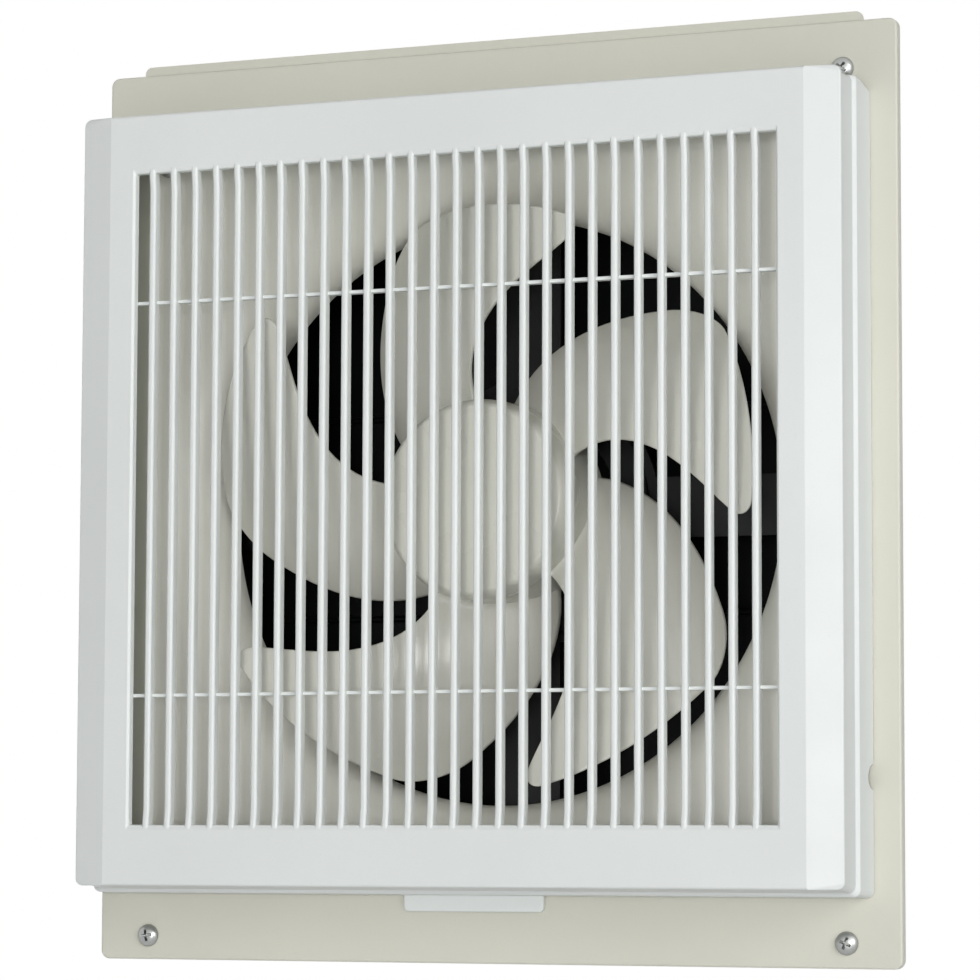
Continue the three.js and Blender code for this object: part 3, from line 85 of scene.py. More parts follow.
# Scales of the noises, in clouds per metre.
HANDLING_SCALE = 31.0
SPECK_SCALE = 1400.0
DUST_SCALE = 60.0
FLOW_SCALE = 22.0
GRAIN_SCALE = 1500.0
PAINT_DUST_SCALE = 45.0
PEEL_SCALE = 420.0
BLOOM_SCALE = 700.0
TURNING_SCALE = 2600.0
SPANGLE_GRAIN_SCALE = 900.0
DRAWN_SCALE = 60.0
RUBBER_BLOOM_SCALE = 120.0
RUBBER_GRAIN_SCALE = 1800.0
FLOOR_SCALE = 1.5

# Waves that a wave texture draws in a metre at scale 1.
WAVES = 20


class Nodes:
    """A node tree, with short calls that add its nodes and join them."""

    def __init__(self, tree: bpy.types.NodeTree) -> None:
        """Takes over a tree and empties it.

        Args:
            tree: The tree.
        """
        self.tree = tree
        self.tree.nodes.clear()

    def add(
        self,
        kind: str,
        inputs: Optional[dict[str, Feed]] = None,
        **settings: object,
    ) -> bpy.types.Node:
        """Adds a node.

        Args:
            kind: The node's type, without its ShaderNode prefix.
            inputs: What each named socket gets, a value or another node's socket.
            **settings: Properties of the node itself.

        Returns:
            The new node.
        """
        node = self.tree.nodes.new("ShaderNode" + kind)
        for key, value in settings.items():
            setattr(node, key, value)
        for key, value in (inputs or {}).items():
            self.feed(node.inputs[key], value)
        return node

    def feed(self, socket: bpy.types.NodeSocket, value: Feed) -> None:
        """Joins a socket to another, or sets its value.

        Args:
            socket: The socket that is fed.
            value: A socket to join, or a plain value.
        """
        if isinstance(value, bpy.types.NodeSocket):
            self.tree.links.new(value, socket)
        else:
            socket.default_value = value

    def spread(
        self,
        value: Feed,
        low: float,
        high: float,
        start: float = 0.3,
        end: float = 0.7,
    ) -> bpy.types.NodeSocket:
        """Spreads a value over a new range.

        Args:
            value: The value.
            low: What the start becomes.
            high: What the end becomes.
            start: Lower end of the old range.
            end: Upper end of the old range.

        Returns:
            The value, held inside the new range.
        """
        inputs = {
            "Value": value,
            "From Min": start,
            "From Max": end,
            "To Min": low,
            "To Max": high,
        }
        return self.add("MapRange", inputs, clamp=True).outputs["Result"]


class Graph(Nodes):
    """A new material's nodes: its shader, its patterns and its mixes."""

    def __init__(self, name: str) -> None:
        """Starts a material with one shader.

        Args:
            name: The material's name.
        """
        self.material = bpy.data.materials.new(name)
        self.material.use_nodes = True
        super().__init__(self.material.node_tree)
        self.output = self.add("OutputMaterial")
        self.shader = self.add("BsdfPrincipled")
        self.tree.links.new(self.shader.outputs["BSDF"], self.output.inputs["Surface"])
        self.coords = self.add("TexCoord")

    def surface(self, **inputs: Feed) -> None:
        """Feeds the shader, with underscores for the spaces in its sockets' names.

        Args:
            **inputs: What each socket gets.
        """
        for key, value in inputs.items():
            self.feed(self.shader.inputs[key.replace("_", " ")], value)

    def place(self, stretch: Colour = (1, 1, 1)) -> bpy.types.NodeSocket:
        """Object coordinates, stretched.

        Args:
            stretch: Scale along each axis.

        Returns:
            The coordinates' socket.
        """
        inputs = {"Vector": self.coords.outputs["Object"], "Scale": stretch}
        return self.add("Mapping", inputs).outputs["Vector"]

    def noise(
        self,
        scale: float,
        detail: float = 3.0,
        stretch: Colour = (1, 1, 1),
    ) -> bpy.types.NodeSocket:
        """Cloudy noise.

        Args:
            scale: Clouds per metre.
            detail: Octaves.
            stretch: Scale along each axis.

        Returns:
            A value from 0 to 1, mostly from 0.3 to 0.7.
        """
        inputs = {"Vector": self.place(stretch), "Scale": scale, "Detail": detail}
        return self.add("TexNoise", inputs).outputs[0]

    def times(self, a: Feed, b: Feed) -> bpy.types.NodeSocket:
        """Product of two values.

        Args:
            a: One value.
            b: The other one.

        Returns:
            The product's socket.
        """
        node = self.add("Math", operation="MULTIPLY")
        self.feed(node.inputs[0], a)
        self.feed(node.inputs[1], b)
        return node.outputs[0]

    def mix(self, share: Feed, a: Feed, b: Feed) -> bpy.types.NodeSocket:
        """Mixes two colours.

        Args:
            share: How much of the second one, from 0 to 1.
            a: First colour.
            b: Second colour.

        Returns:
            The mixed colour.
        """
        node = self.add("Mix", data_type="RGBA", clamp_factor=True)
        self.feed(node.inputs[0], share)
        self.feed(node.inputs[6], a if isinstance(a, bpy.types.NodeSocket) else (*a, 1))
        self.feed(node.inputs[7], b if isinstance(b, bpy.types.NodeSocket) else (*b, 1))
        return node.outputs[2]

    def bump(
        self,
        height: Feed,
        depth: float,
        strength: float = 1.0,
        onto: Optional[bpy.types.NodeSocket] = None,
    ) -> bpy.types.NodeSocket:
        """Raises the surface by a height.

        Args:
            height: The height, from 0 to 1.
            depth: How far 1 stands out, in millimetres.
            strength: How strongly it shows.
            onto: A normal to add it to.

        Returns:
            The new normal.
        """
        inputs: dict[str, Feed] = {"Height": height, "Distance": depth * MM, "Strength": strength}
        if onto is not None:
            inputs["Normal"] = onto
        return self.add("Bump", inputs).outputs["Normal"]

    def upward(self) -> bpy.types.NodeSocket:
        """1 where the piece itself faces up, falling to 0 at its sides."""
        split = self.add("SeparateXYZ", {"Vector": self.coords.outputs["Normal"]})
        return self.spread(split.outputs["Z"], 0.0, 1.0, 0.45, 0.95)


@dataclass(frozen=True)
class Finish:
    """What every finish has: the name of its slot, its colour and its roughness."""

    name: str
    slot: str
    colour: Colour
    roughness: float
    wander: float = 0.03
    cloud: float = 9.0

    def shade(self, share: float) -> Colour:
        """The colour, lighter or darker by a share of itself."""
        return tuple(min(1.0, c * (1 + share)) for c in self.colour)

    def tint(self, graph: Graph) -> bpy.types.NodeSocket:
        """The colour with its slow clouds and fine specks.

        Args:
            graph: The material's nodes.

        Returns:
            The colour's socket.
        """
        clouds = graph.mix(
            graph.spread(graph.noise(self.cloud, 4.0), 0.0, 1.0),
            self.shade(-self.wander),
            self.shade(self.wander * 0.6),
        )
        specks = graph.spread(graph.noise(SPECK_SCALE, 1.0), 0.0, 0.5, 0.62, 0.8)
        return graph.mix(specks, clouds, self.shade(-2.5 * self.wander))

    def sheen(self, graph: Graph, low: float, high: float) -> bpy.types.NodeSocket:
        """Roughness that wanders with handling and the tool's polish.

        Args:
            graph: The material's nodes.
            low: Change of roughness where it shines.
            high: Change of roughness where it is dull.

        Returns:
            The roughness's socket.
        """
        return graph.spread(
            graph.noise(HANDLING_SCALE, 5.0), self.roughness + low, self.roughness + high
        )

    def paint(self, graph: Graph) -> None:
        """Feeds the shader. Each finish does it in its own way."""
        raise NotImplementedError

    def material(self) -> bpy.types.Material:
        """The finish's material, made once.

        Returns:
            The material.
        """
        made = bpy.data.materials.get(self.name)
        if made is None:
            graph = Graph(self.name)
            self.paint(graph)
            made = graph.material
        return made


@dataclass(frozen=True)
class Moulding(Finish):
    """Injection-moulded plastic: faint flow clouds, a fine grain and some settled dust.

    Its ior is the index of refraction, which sets how strongly it mirrors.
    """

    grain: float = 0.012
    ripple: float = 0.03
    dust: float = 0.25
    dust_colour: Colour = (0.52, 0.50, 0.44)
    ior: float = 1.47

    def paint(self, graph: Graph) -> None:
        """Plastic with grain, ripple and dust.

        Args:
            graph: The material's nodes.
        """
        settled = graph.times(graph.upward(), graph.spread(graph.noise(DUST_SCALE, 6.0), 0.2, 1.0))
        colour = graph.mix(graph.times(settled, self.dust), self.tint(graph), self.dust_colour)
        normal = graph.bump(graph.noise(FLOW_SCALE, 2.0), self.ripple)
        normal = graph.bump(graph.noise(GRAIN_SCALE, 2.0), self.grain, onto=normal)
        graph.surface(
            Base_Color=colour,
            Roughness=self.sheen(graph, -0.04, 0.06),
            IOR=self.ior,
            Normal=normal,
        )


@dataclass(frozen=True)
class PaintedSheet(Finish):
    """Stoved paint on sheet steel: orange peel, dull patches and dust."""

    dust_colour: Colour = (0.10, 0.095, 0.085)

    def paint(self, graph: Graph) -> None:
        """Paint with orange peel, and dust on what faces up.

        Args:
            graph: The material's nodes.
        """
        settled = graph.times(
            graph.upward(), graph.spread(graph.noise(PAINT_DUST_SCALE, 6.0), 0.1, 0.6)
        )
        colour = graph.mix(settled, self.tint(graph), self.dust_colour)
        normal = graph.bump(graph.noise(PEEL_SCALE, 2.0), 0.05, 0.6)
        graph.surface(
            Base_Color=colour,
            Roughness=self.sheen(graph, -0.06, 0.12),
            Normal=normal,
        )


@dataclass(frozen=True)
class ZincPlate(Finish):
    """Bright zinc on turned steel, with white bloom and faint turning marks."""

    def paint(self, graph: Graph) -> None:
        """Metal with bloom and marks.

        Args:
            graph: The material's nodes.
        """
        bloom = graph.spread(graph.noise(BLOOM_SCALE, 5.0), 0.0, 0.55, 0.5, 0.8)
        colour = graph.mix(bloom, self.tint(graph), self.shade(-0.22))
        normal = graph.bump(graph.noise(TURNING_SCALE, 2.0), 0.006)
        graph.surface(
            Base_Color=colour,
            Metallic=1.0,
            Roughness=self.sheen(graph, -0.08, 0.1),
            Normal=normal,
        )


@dataclass(frozen=True)
class Galvanised(Finish):
    """Zinc-dipped sheet with its spangle."""

    spangle: float = 170.0

    def paint(self, graph: Graph) -> None:
        """Metal with crystals of slightly different tone and gloss.

        Args:
            graph: The material's nodes.
        """
        inputs = {"Vector": graph.place(), "Scale": self.spangle}
        crystals = graph.add("TexVoronoi", inputs)
        tone = graph.add("SeparateColor", {"Color": crystals.outputs["Color"]}).outputs[0]
        colour = graph.mix(tone, self.shade(-0.16), self.shade(0.10))
        graph.surface(
            Base_Color=colour,
            Metallic=1.0,
            Roughness=graph.spread(tone, self.roughness - 0.08, self.roughness + 0.1, 0.0, 1.0),
            Normal=graph.bump(graph.noise(SPANGLE_GRAIN_SCALE, 3.0), 0.01),
        )


@dataclass(frozen=True)
class DrawnMetal(Finish):
    """Drawn, rolled or ground metal: fine lines along one direction."""

    lines: Colour = (40.0, 40.0, 1.0)

    def paint(self, graph: Graph) -> None:
        """Metal with lines that catch the light.

        Args:
            graph: The material's nodes.
        """
        marks = graph.noise(DRAWN_SCALE, 6.0, self.lines)
        colour = graph.mix(graph.spread(marks, 0.0, 1.0), self.shade(-0.12), self.shade(0.06))
        graph.surface(
            Base_Color=colour,
            Metallic=1.0,
            Roughness=graph.spread(marks, self.roughness - 0.07, self.roughness + 0.09),
            Normal=graph.bump(marks, 0.012),
        )


@dataclass(frozen=True)
class Laminated(Finish):
    """Stacked steel laminations: a fine line for each sheet along the fan's axis."""

    sheet: float = 0.5

    def paint(self, graph: Graph) -> None:
        """Metal banded along Y.

        Args:
            graph: The material's nodes.
        """
        inputs = {
            "Vector": graph.place(),
            "Scale": 1 / (self.sheet * MM) / WAVES,
            "Distortion": 0.4,
        }
        bands = graph.add("TexWave", inputs, bands_direction="Y").outputs[0]
        colour = graph.mix(bands, self.shade(-0.35), self.shade(0.2))
        graph.surface(
            Base_Color=colour,
            Metallic=1.0,
            Roughness=self.sheen(graph, -0.05, 0.15),
            Normal=graph.bump(bands, 0.08, 0.7),
        )


@dataclass(frozen=True)
class Winding(Finish):
    """Enamelled wire laid in rings about the fan's axis."""

    wire: float = 0.6

    def paint(self, graph: Graph) -> None:
        """Rings of wire under a coat of varnish.

        Args:
            graph: The material's nodes.
        """
        inputs = {
            "Vector": graph.place(),
            "Scale": 1 / (self.wire * MM) / WAVES,
            "Distortion": 1.2,
            "Detail": 2.0,
        }
        rings = graph.add(
            "TexWave", inputs, wave_type="RINGS", rings_direction="Y"
        ).outputs[0]
        colour = graph.mix(rings, self.shade(-0.55), self.shade(0.15))
        graph.surface(
            Base_Color=colour,
            Metallic=0.85,
            Coat_Weight=0.6,
            Coat_Roughness=0.15,
            Roughness=self.sheen(graph, -0.05, 0.12),
            Normal=graph.bump(rings, 0.25),
        )


@dataclass(frozen=True)
class Rubber(Finish):
    """Matt black rubber with a bloom."""

    def paint(self, graph: Graph) -> None:
        """Rubber with a soft grain.

        Args:
            graph: The material's nodes.
        """
        bloom = graph.spread(graph.noise(RUBBER_BLOOM_SCALE, 6.0), 0.0, 0.5, 0.45, 0.8)
        graph.surface(
            Base_Color=graph.mix(bloom, self.tint(graph), (0.06, 0.058, 0.055)),
            Roughness=self.sheen(graph, -0.08, 0.08),
            Normal=graph.bump(graph.noise(RUBBER_GRAIN_SCALE, 3.0), 0.02),
        )


COVER_WHITE = Moulding("white_cover_plastic", "cover_white", (0.745, 0.775, 0.762), 0.40)
PLATE_BEIGE = Moulding("beige_plate_plastic", "plate_beige", (0.635, 0.63, 0.548), 0.46)
# Grey-beige panel plastic made lighter than the white cover: partly its own colour, partly painted
# light that makes up for the shade inside the cover.
ORIFICE_GREY_WITH_PAINTED_LIGHT = Moulding("grey_beige_panel_plastic_with_painted_light", "orifice_grey", (0.86, 0.852, 0.775), 0.40)
WHEEL_CREAM = Moulding(
    "cream_wheel_plastic", "wheel_cream", (0.74, 0.735, 0.665), 0.22, grain=0.004, ripple=0.05
)
CAP_CREAM = Moulding(
    "cream_cap_plastic", "wheel_cream", (0.74, 0.735, 0.665), 0.28, grain=0.006, ripple=0.02
)
# Black shutter plastic whose near-zero colour, darker than black plastic itself, is partly painted
# shade for the depths behind the wheel.
SHUTTER_BLACK_WITH_PAINTED_SHADE = Moulding(
    "black_shutter_plastic_with_painted_shade",
    "shutter_black",
    (0.0045, 0.0048, 0.0056),
    0.34,
    wander=0.1,
    dust=0.15,
    dust_colour=(0.05, 0.049, 0.045),
    ior=1.22,
)
GREY_PLASTIC = Moulding("grey_block_plastic", "grey_plastic", (0.16, 0.17, 0.18), 0.5)
# Black stoved paint whose near-zero colour, darker than black paint itself, is partly painted
# shade: it makes the fan's inside read as deep shadow.
BLACK_PAINT_WITH_PAINTED_SHADE = PaintedSheet("black_stoved_paint_with_painted_shade", "black_paint", (0.0045, 0.0048, 0.0056), 0.55)
ZINC = ZincPlate("bright_zinc", "zinc_screw", (0.42, 0.43, 0.42), 0.32)
GALVANISED = Galvanised("spangled_zinc_sheet", "galvanised", (0.62, 0.64, 0.65), 0.38)
SPRING_STEEL = DrawnMetal(
    "rolled_spring_steel", "spring_steel", (0.52, 0.53, 0.55), 0.3, lines=(1.0, 40.0, 40.0)
)
STEEL = DrawnMetal("ground_steel", "steel", (0.56, 0.57, 0.58), 0.22, lines=(1.0, 60.0, 1.0))
CORE_STEEL = Laminated("laminated_core_steel", "core_steel", (0.14, 0.145, 0.16), 0.45)
COPPER = Winding("varnished_copper_wire", "copper_coil", (0.62, 0.25, 0.09), 0.32)
CAN_METAL = DrawnMetal("drawn_can_metal", "can_alu", (0.74, 0.75, 0.76), 0.3)
RUBBER = Rubber("black_bushing_rubber", "black_rubber", (0.02, 0.02, 0.02), 0.75, wander=0.1)

# ---------------------------------------------------------------- mesh helpers

# Where X, Y and Z stand in (first, second, along) for a shape drawn along each axis.
AXIS_ORDER = {"X": (2, 0, 1), "Y": (0, 2, 1), "Z": (0, 1, 2)}


def rounded(
    points: Sequence[Pair],
    radii: Sequence[float],
    steps: int = 3,
    loop: bool = True,
) -> list[Pair]:
    """Rounds each corner of an outline, always with the same count of points.

    Args:
        points: The outline's corners, in order.
        radii: Radius at each corner.
        steps: Segments at each corner.
        loop: Whether the last corner joins the first one.

    Returns:
        The rounded outline, steps + 1 points for each corner.
    """
    made: list[Pair] = []
    count = len(points)
    for i, (x, y) in enumerate(points):
        here = Vector((x, y))
        if not loop and i in (0, count - 1):
            made.append((x, y))
            continue
        back = Vector(points[i - 1]) - here
        ahead = Vector(points[(i + 1) % count]) - here
        reach = 0.45 * min(back.length, ahead.length)
        half = back.angle(ahead, math.pi) / 2
        cut = min(max(radii[i], 0.01) / max(math.tan(half), 1e-6), reach)
        cut = max(cut, min(0.02, reach))
        start, end = here + back.normalized() * cut, here + ahead.normalized() * cut
        weight = math.sin(half)
        for k in range(steps + 1):
            t = k / steps
            a, b, c = (1 - t) ** 2, 2 * t * (1 - t) * weight, t * t
            point = (start * a + here * b + end * c) / (a + b + c)
            made.append((point.x, point.y))
    return made


def rect_ring(
    half: float,
    low: float,
    high: float,
    y: Pair,
    radius: float,
    centre_x: float,
    steps: int = 6,
) -> Ring:
    """Ring of points round a rounded rectangle.

    Args:
        half: Half width.
        low: Lowest Z.
        high: Highest Z.
        y: Depth along the two sides, then along top and bottom.
        radius: Corner radius.
        centre_x: Middle of the rectangle.
        steps: Segments at each corner.

    Returns:
        The ring.
    """
    ring: Ring = []
    corners = ((1, high, 0), (-1, high, 90), (-1, low, 180), (1, low, 270))
    for side, edge, start in corners:
        x0 = centre_x + side * (half - radius)
        z0 = edge - radius if edge == high else edge + radius
        for k in range(steps + 1):
            angle = math.radians(start + 90 * k / steps)
            share = k / steps if start in (0, 180) else 1 - k / steps
            depth = y[0] + (y[1] - y[0]) * share
            ring.append(
                Vector((x0 + radius * math.cos(angle), depth, z0 + radius * math.sin(angle)))
            )
    return ring


def box_radius(angle: float, half_x: float, half_z: float, corner: float) -> float:
    """Distance from the middle of a rounded rectangle to its edge.

    Args:
        angle: Direction, from +X towards +Z.
        half_x: Half width.
        half_z: Half height.
        corner: Corner radius.

    Returns:
        The distance.
    """
    a, b = abs(math.cos(angle)), abs(math.sin(angle))
    reach = min(half_x / max(a, 1e-9), half_z / max(b, 1e-9))
    x, z = reach * a, reach * b
    cx, cz = half_x - corner, half_z - corner
    if x > cx and z > cz:
        along = a * cx + b * cz
        reach = along + math.sqrt(max(along**2 - (cx**2 + cz**2 - corner**2), 0.0))
    return reach


def box_ring(count: int, y: float, half_x: float, half_z: float, corner: float) -> Ring:
    """Ring round a rounded rectangle, with points enough round its corners.

    Args:
        count: Points in the ring, a multiple of 48: each corner gets one in 24 of them.
        y: Depth.
        half_x: Half width.
        half_z: Half height.
        corner: Corner radius.

    Returns:
        The ring.
    """
    turn = count // 24
    side = (count // 4 - turn) // 2
    first = math.atan2(half_z - corner, half_x)
    last = math.atan2(half_z, half_x - corner)
    quarter = [first * k / side for k in range(side)]
    quarter += [first + (last - first) * k / turn for k in range(turn)]
    quarter += [last + (math.pi / 2 - last) * k / side for k in range(side + 1)]
    angles = quarter[:-1] + [math.pi - a for a in quarter[:0:-1]]
    angles += [math.pi + a for a in angles]
    ring = []
    for angle in angles:
        r = box_radius(angle, half_x, half_z, corner)
        ring.append(Vector((r * math.cos(angle), y, r * math.sin(angle))))
    return ring


def circle_ring(count: int, y: float, radius: float) -> Ring:
    """Ring of points on a circle about the fan's axis."""
    angles = [TAU * i / count for i in range(count)]
    return [Vector((radius * math.cos(a), y, radius * math.sin(a))) for a in angles]


class Shape:
    """A closed mesh in the making, in millimetres."""

    def __init__(self) -> None:
        """Starts an empty mesh."""
        self.mesh = bmesh.new()

    def skin(self, rings: Sequence[Ring], loop: bool = False) -> "Shape":
        """Adds a skin over a stack of rings.

        Args:
            rings: Rings of equal count.
            loop: Joins the last ring to the first, and otherwise both ends are closed.

        Returns:
            The shape itself.
        """
        rows = [[self.mesh.verts.new(point) for point in ring] for ring in rings]
        pairs = list(zip(rows, rows[1:])) + ([(rows[-1], rows[0])] if loop else [])
        for low, high in pairs:
            for i in range(len(low)):
                j = (i + 1) % len(low)
                self.mesh.faces.new((low[i], low[j], high[j], high[i]))
        if not loop:
            self.mesh.faces.new(rows[0][::-1])
            self.mesh.faces.new(rows[-1])
        return self

    def turned(self, profile: Sequence[Pair], segments: int = 96) -> "Shape":
        """Adds a solid turned about the Y axis.

        Args:
            profile: Closed outline of (radius, y).
            segments: Facets round the axis.

        Returns:
            The shape itself.
        """
        rings = [circle_ring(segments, y, max(r, 1e-4)) for r, y in profile]
        return self.skin(rings, loop=True)

    def block(self, x: Pair, y: Pair, z: Pair) -> "Shape":
        """Adds a block.

        Args:
            x: Its ends along X.
            y: Its ends along Y.
            z: Its ends along Z.

        Returns:
            The shape itself.
        """
        rings = []
        for depth in y:
            corners = ((x[0], z[0]), (x[1], z[0]), (x[1], z[1]), (x[0], z[1]))
            rings.append([Vector((a, depth, b)) for a, b in corners])
        return self.skin(rings)

    def prism(self, outline: Sequence[Pair], axis: str, ends: Pair) -> "Shape":
        """Adds an outline drawn out along an axis.

        Args:
            outline: Corners, as (y, z) along X, (x, z) along Y or (x, y) along Z.
            axis: The axis it is drawn along.
            ends: Where it starts and ends.

        Returns:
            The shape itself.
        """
        order = AXIS_ORDER[axis]
        rings = []
        for end in ends:
            raw = [(a, b, end) for a, b in outline]
            rings.append([Vector([p[k] for k in order]) for p in raw])
        return self.skin(rings)

    def rod(
        self,
        axis: str,
        at: Pair,
        radius: float,
        ends: Pair,
        edge: float = 0.3,
        segments: int = 32,
    ) -> "Shape":
        """Adds a round rod with softened ends.

        Args:
            axis: The axis it runs along.
            at: Its middle in the other two axes, in their order.
            radius: Its radius.
            ends: Where it starts and ends.
            edge: Rounding at its ends.
            segments: Facets round it.

        Returns:
            The shape itself.
        """
        order = AXIS_ORDER[axis]
        sign = 1 if ends[1] > ends[0] else -1
        stations = [
            (radius - edge, ends[0]),
            (radius - 0.3 * edge, ends[0] + 0.3 * edge * sign),
            (radius, ends[0] + edge * sign),
            (radius, ends[1] - edge * sign),
            (radius - 0.3 * edge, ends[1] - 0.3 * edge * sign),
            (radius - edge, ends[1]),
        ]
        rings = []
        for r, along in stations:
            ring = []
            for i in range(segments):
                a = TAU * i / segments
                raw = (at[0] + r * math.cos(a), at[1] + r * math.sin(a), along)
                ring.append(Vector([raw[k] for k in order]))
            rings.append(ring)
        return self.skin(rings)

    def turn(self, matrix: Matrix) -> "Shape":
        """Moves everything made so far."""
        bmesh.ops.transform(self.mesh, matrix=matrix, verts=self.mesh.verts)
        return self

    def piece(self, name: str) -> bpy.types.Object:
        """Ends the shape as an object, still in millimetres.

        Args:
            name: The object's name.

        Returns:
            The object.
        """
        bmesh.ops.remove_doubles(self.mesh, verts=self.mesh.verts, dist=5e-4)
        bmesh.ops.dissolve_degenerate(self.mesh, edges=self.mesh.edges, dist=1e-4)
        bmesh.ops.recalc_face_normals(self.mesh, faces=self.mesh.faces)
        data = bpy.data.meshes.new(name)
        self.mesh.to_mesh(data)
        self.mesh.free()
        made = bpy.data.objects.new(name, data)
        bpy.context.scene.collection.objects.link(made)
        return made


def worked(
    base: bpy.types.Object, tools: Sequence[bpy.types.Object], how: Cut
) -> bpy.types.Object:
    """Adds solids to a solid, or takes them off it, and deletes them.

    Args:
        base: The solid that is worked on.
        tools: The solids that work on it.
        how: Whether they are added or removed.

    Returns:
        The base, with its new mesh.
    """
    for tool in tools:
        step = base.modifiers.new("work", "BOOLEAN")
        step.operation = how.value
        step.solver = "EXACT"
        step.object = tool
        bpy.context.view_layer.update()
        graph = bpy.context.evaluated_depsgraph_get()
        made = bpy.data.meshes.new_from_object(base.evaluated_get(graph))
        base.modifiers.clear()
        old = base.data
        base.data = made
        bpy.data.meshes.remove(old)
        bpy.data.objects.remove(tool)
    return base


def settled(
    piece: bpy.types.Object, crease: float = 32.0, round_edges: float = 0.0
) -> bpy.types.Object:
    """Brings a piece to metres and gives it its creases and soft edges.

    Args:
        piece: The piece, in millimetres.
        crease: Edges sharper than this many degrees stay crisp.
        round_edges: Radius put on the sharp edges, in millimetres.

    Returns:
        The piece.
    """
    data = piece.data
    data.transform(Matrix.Scale(MM, 4))
    data.shade_smooth()
    data.set_sharp_from_angle(angle=math.radians(crease))
    if round_edges:
        soften(piece, round_edges)
    evened(piece, 60)
    return piece


def evened(piece: bpy.types.Object, weight: int = 50) -> None:
    """Evens out a piece's shading and keeps its creases.

    Args:
        piece: The piece.
        weight: How much more a large face counts, 50 for evenly.
    """
    even = piece.modifiers.new("even", "WEIGHTED_NORMAL")
    even.keep_sharp = True
    even.weight = weight


def soften(piece: bpy.types.Object, radius: float, angle: float = 40.0) -> None:
    """Rounds a piece's sharp edges with a modifier.

    Args:
        piece: The piece.
        radius: Radius in millimetres.
        angle: Edges sharper than this many degrees are rounded.
    """
    edge = piece.modifiers.new("edge", "BEVEL")
    edge.width = radius * MM
    edge.segments = 2
    edge.limit_method = "ANGLE"
    edge.angle_limit = math.radians(angle)
    edge.use_clamp_overlap = True
    edge.harden_normals = False


# ---------------------------------------------------------------- sub-assemblies

# Middle of the cover along X, and its hinge axis as (y, z).
COVER_X = -4.55
HINGE_AXIS = (-12.0, 161.5)


class Assembly:
    """How every sub-assembly puts its pieces on the frame."""

    weld_reach = 0.002

    def dress(
        self,
        piece: bpy.types.Object,
        finish: Finish,
        body: Body,
        *nodes: str,
    ) -> None:
        """Gives a new piece its finish and its place on the frame.

        Args:
            piece: The piece, in metres.
            finish: Its finish.
            body: The body it rides on.
            *nodes: The nodes that it stands for.
        """
        piece.data.materials.clear()
        piece.data.materials.append(finish.material())
        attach(piece, body.value)
        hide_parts(*nodes)
        LOG.info("%s stands for %s, %d faces", piece.name, ", ".join(nodes),
                 len(piece.data.polygons))

    def keep(self, node: str, finish: Finish, edge: float) -> None:
        """Dresses a solid of the frame that keeps its own shape.

        Args:
            node: The node.
            finish: Its finish.
            edge: Radius put on its edges, in millimetres.
        """
        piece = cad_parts[node]
        piece.data.materials.clear()
        piece.data.materials.append(finish.material())
        weld = piece.modifiers.new("weld", "WELD")
        weld.merge_threshold = self.weld_reach * MM
        soften(piece, edge)
        evened(piece)
        LOG.info("%s keeps its shape", node)


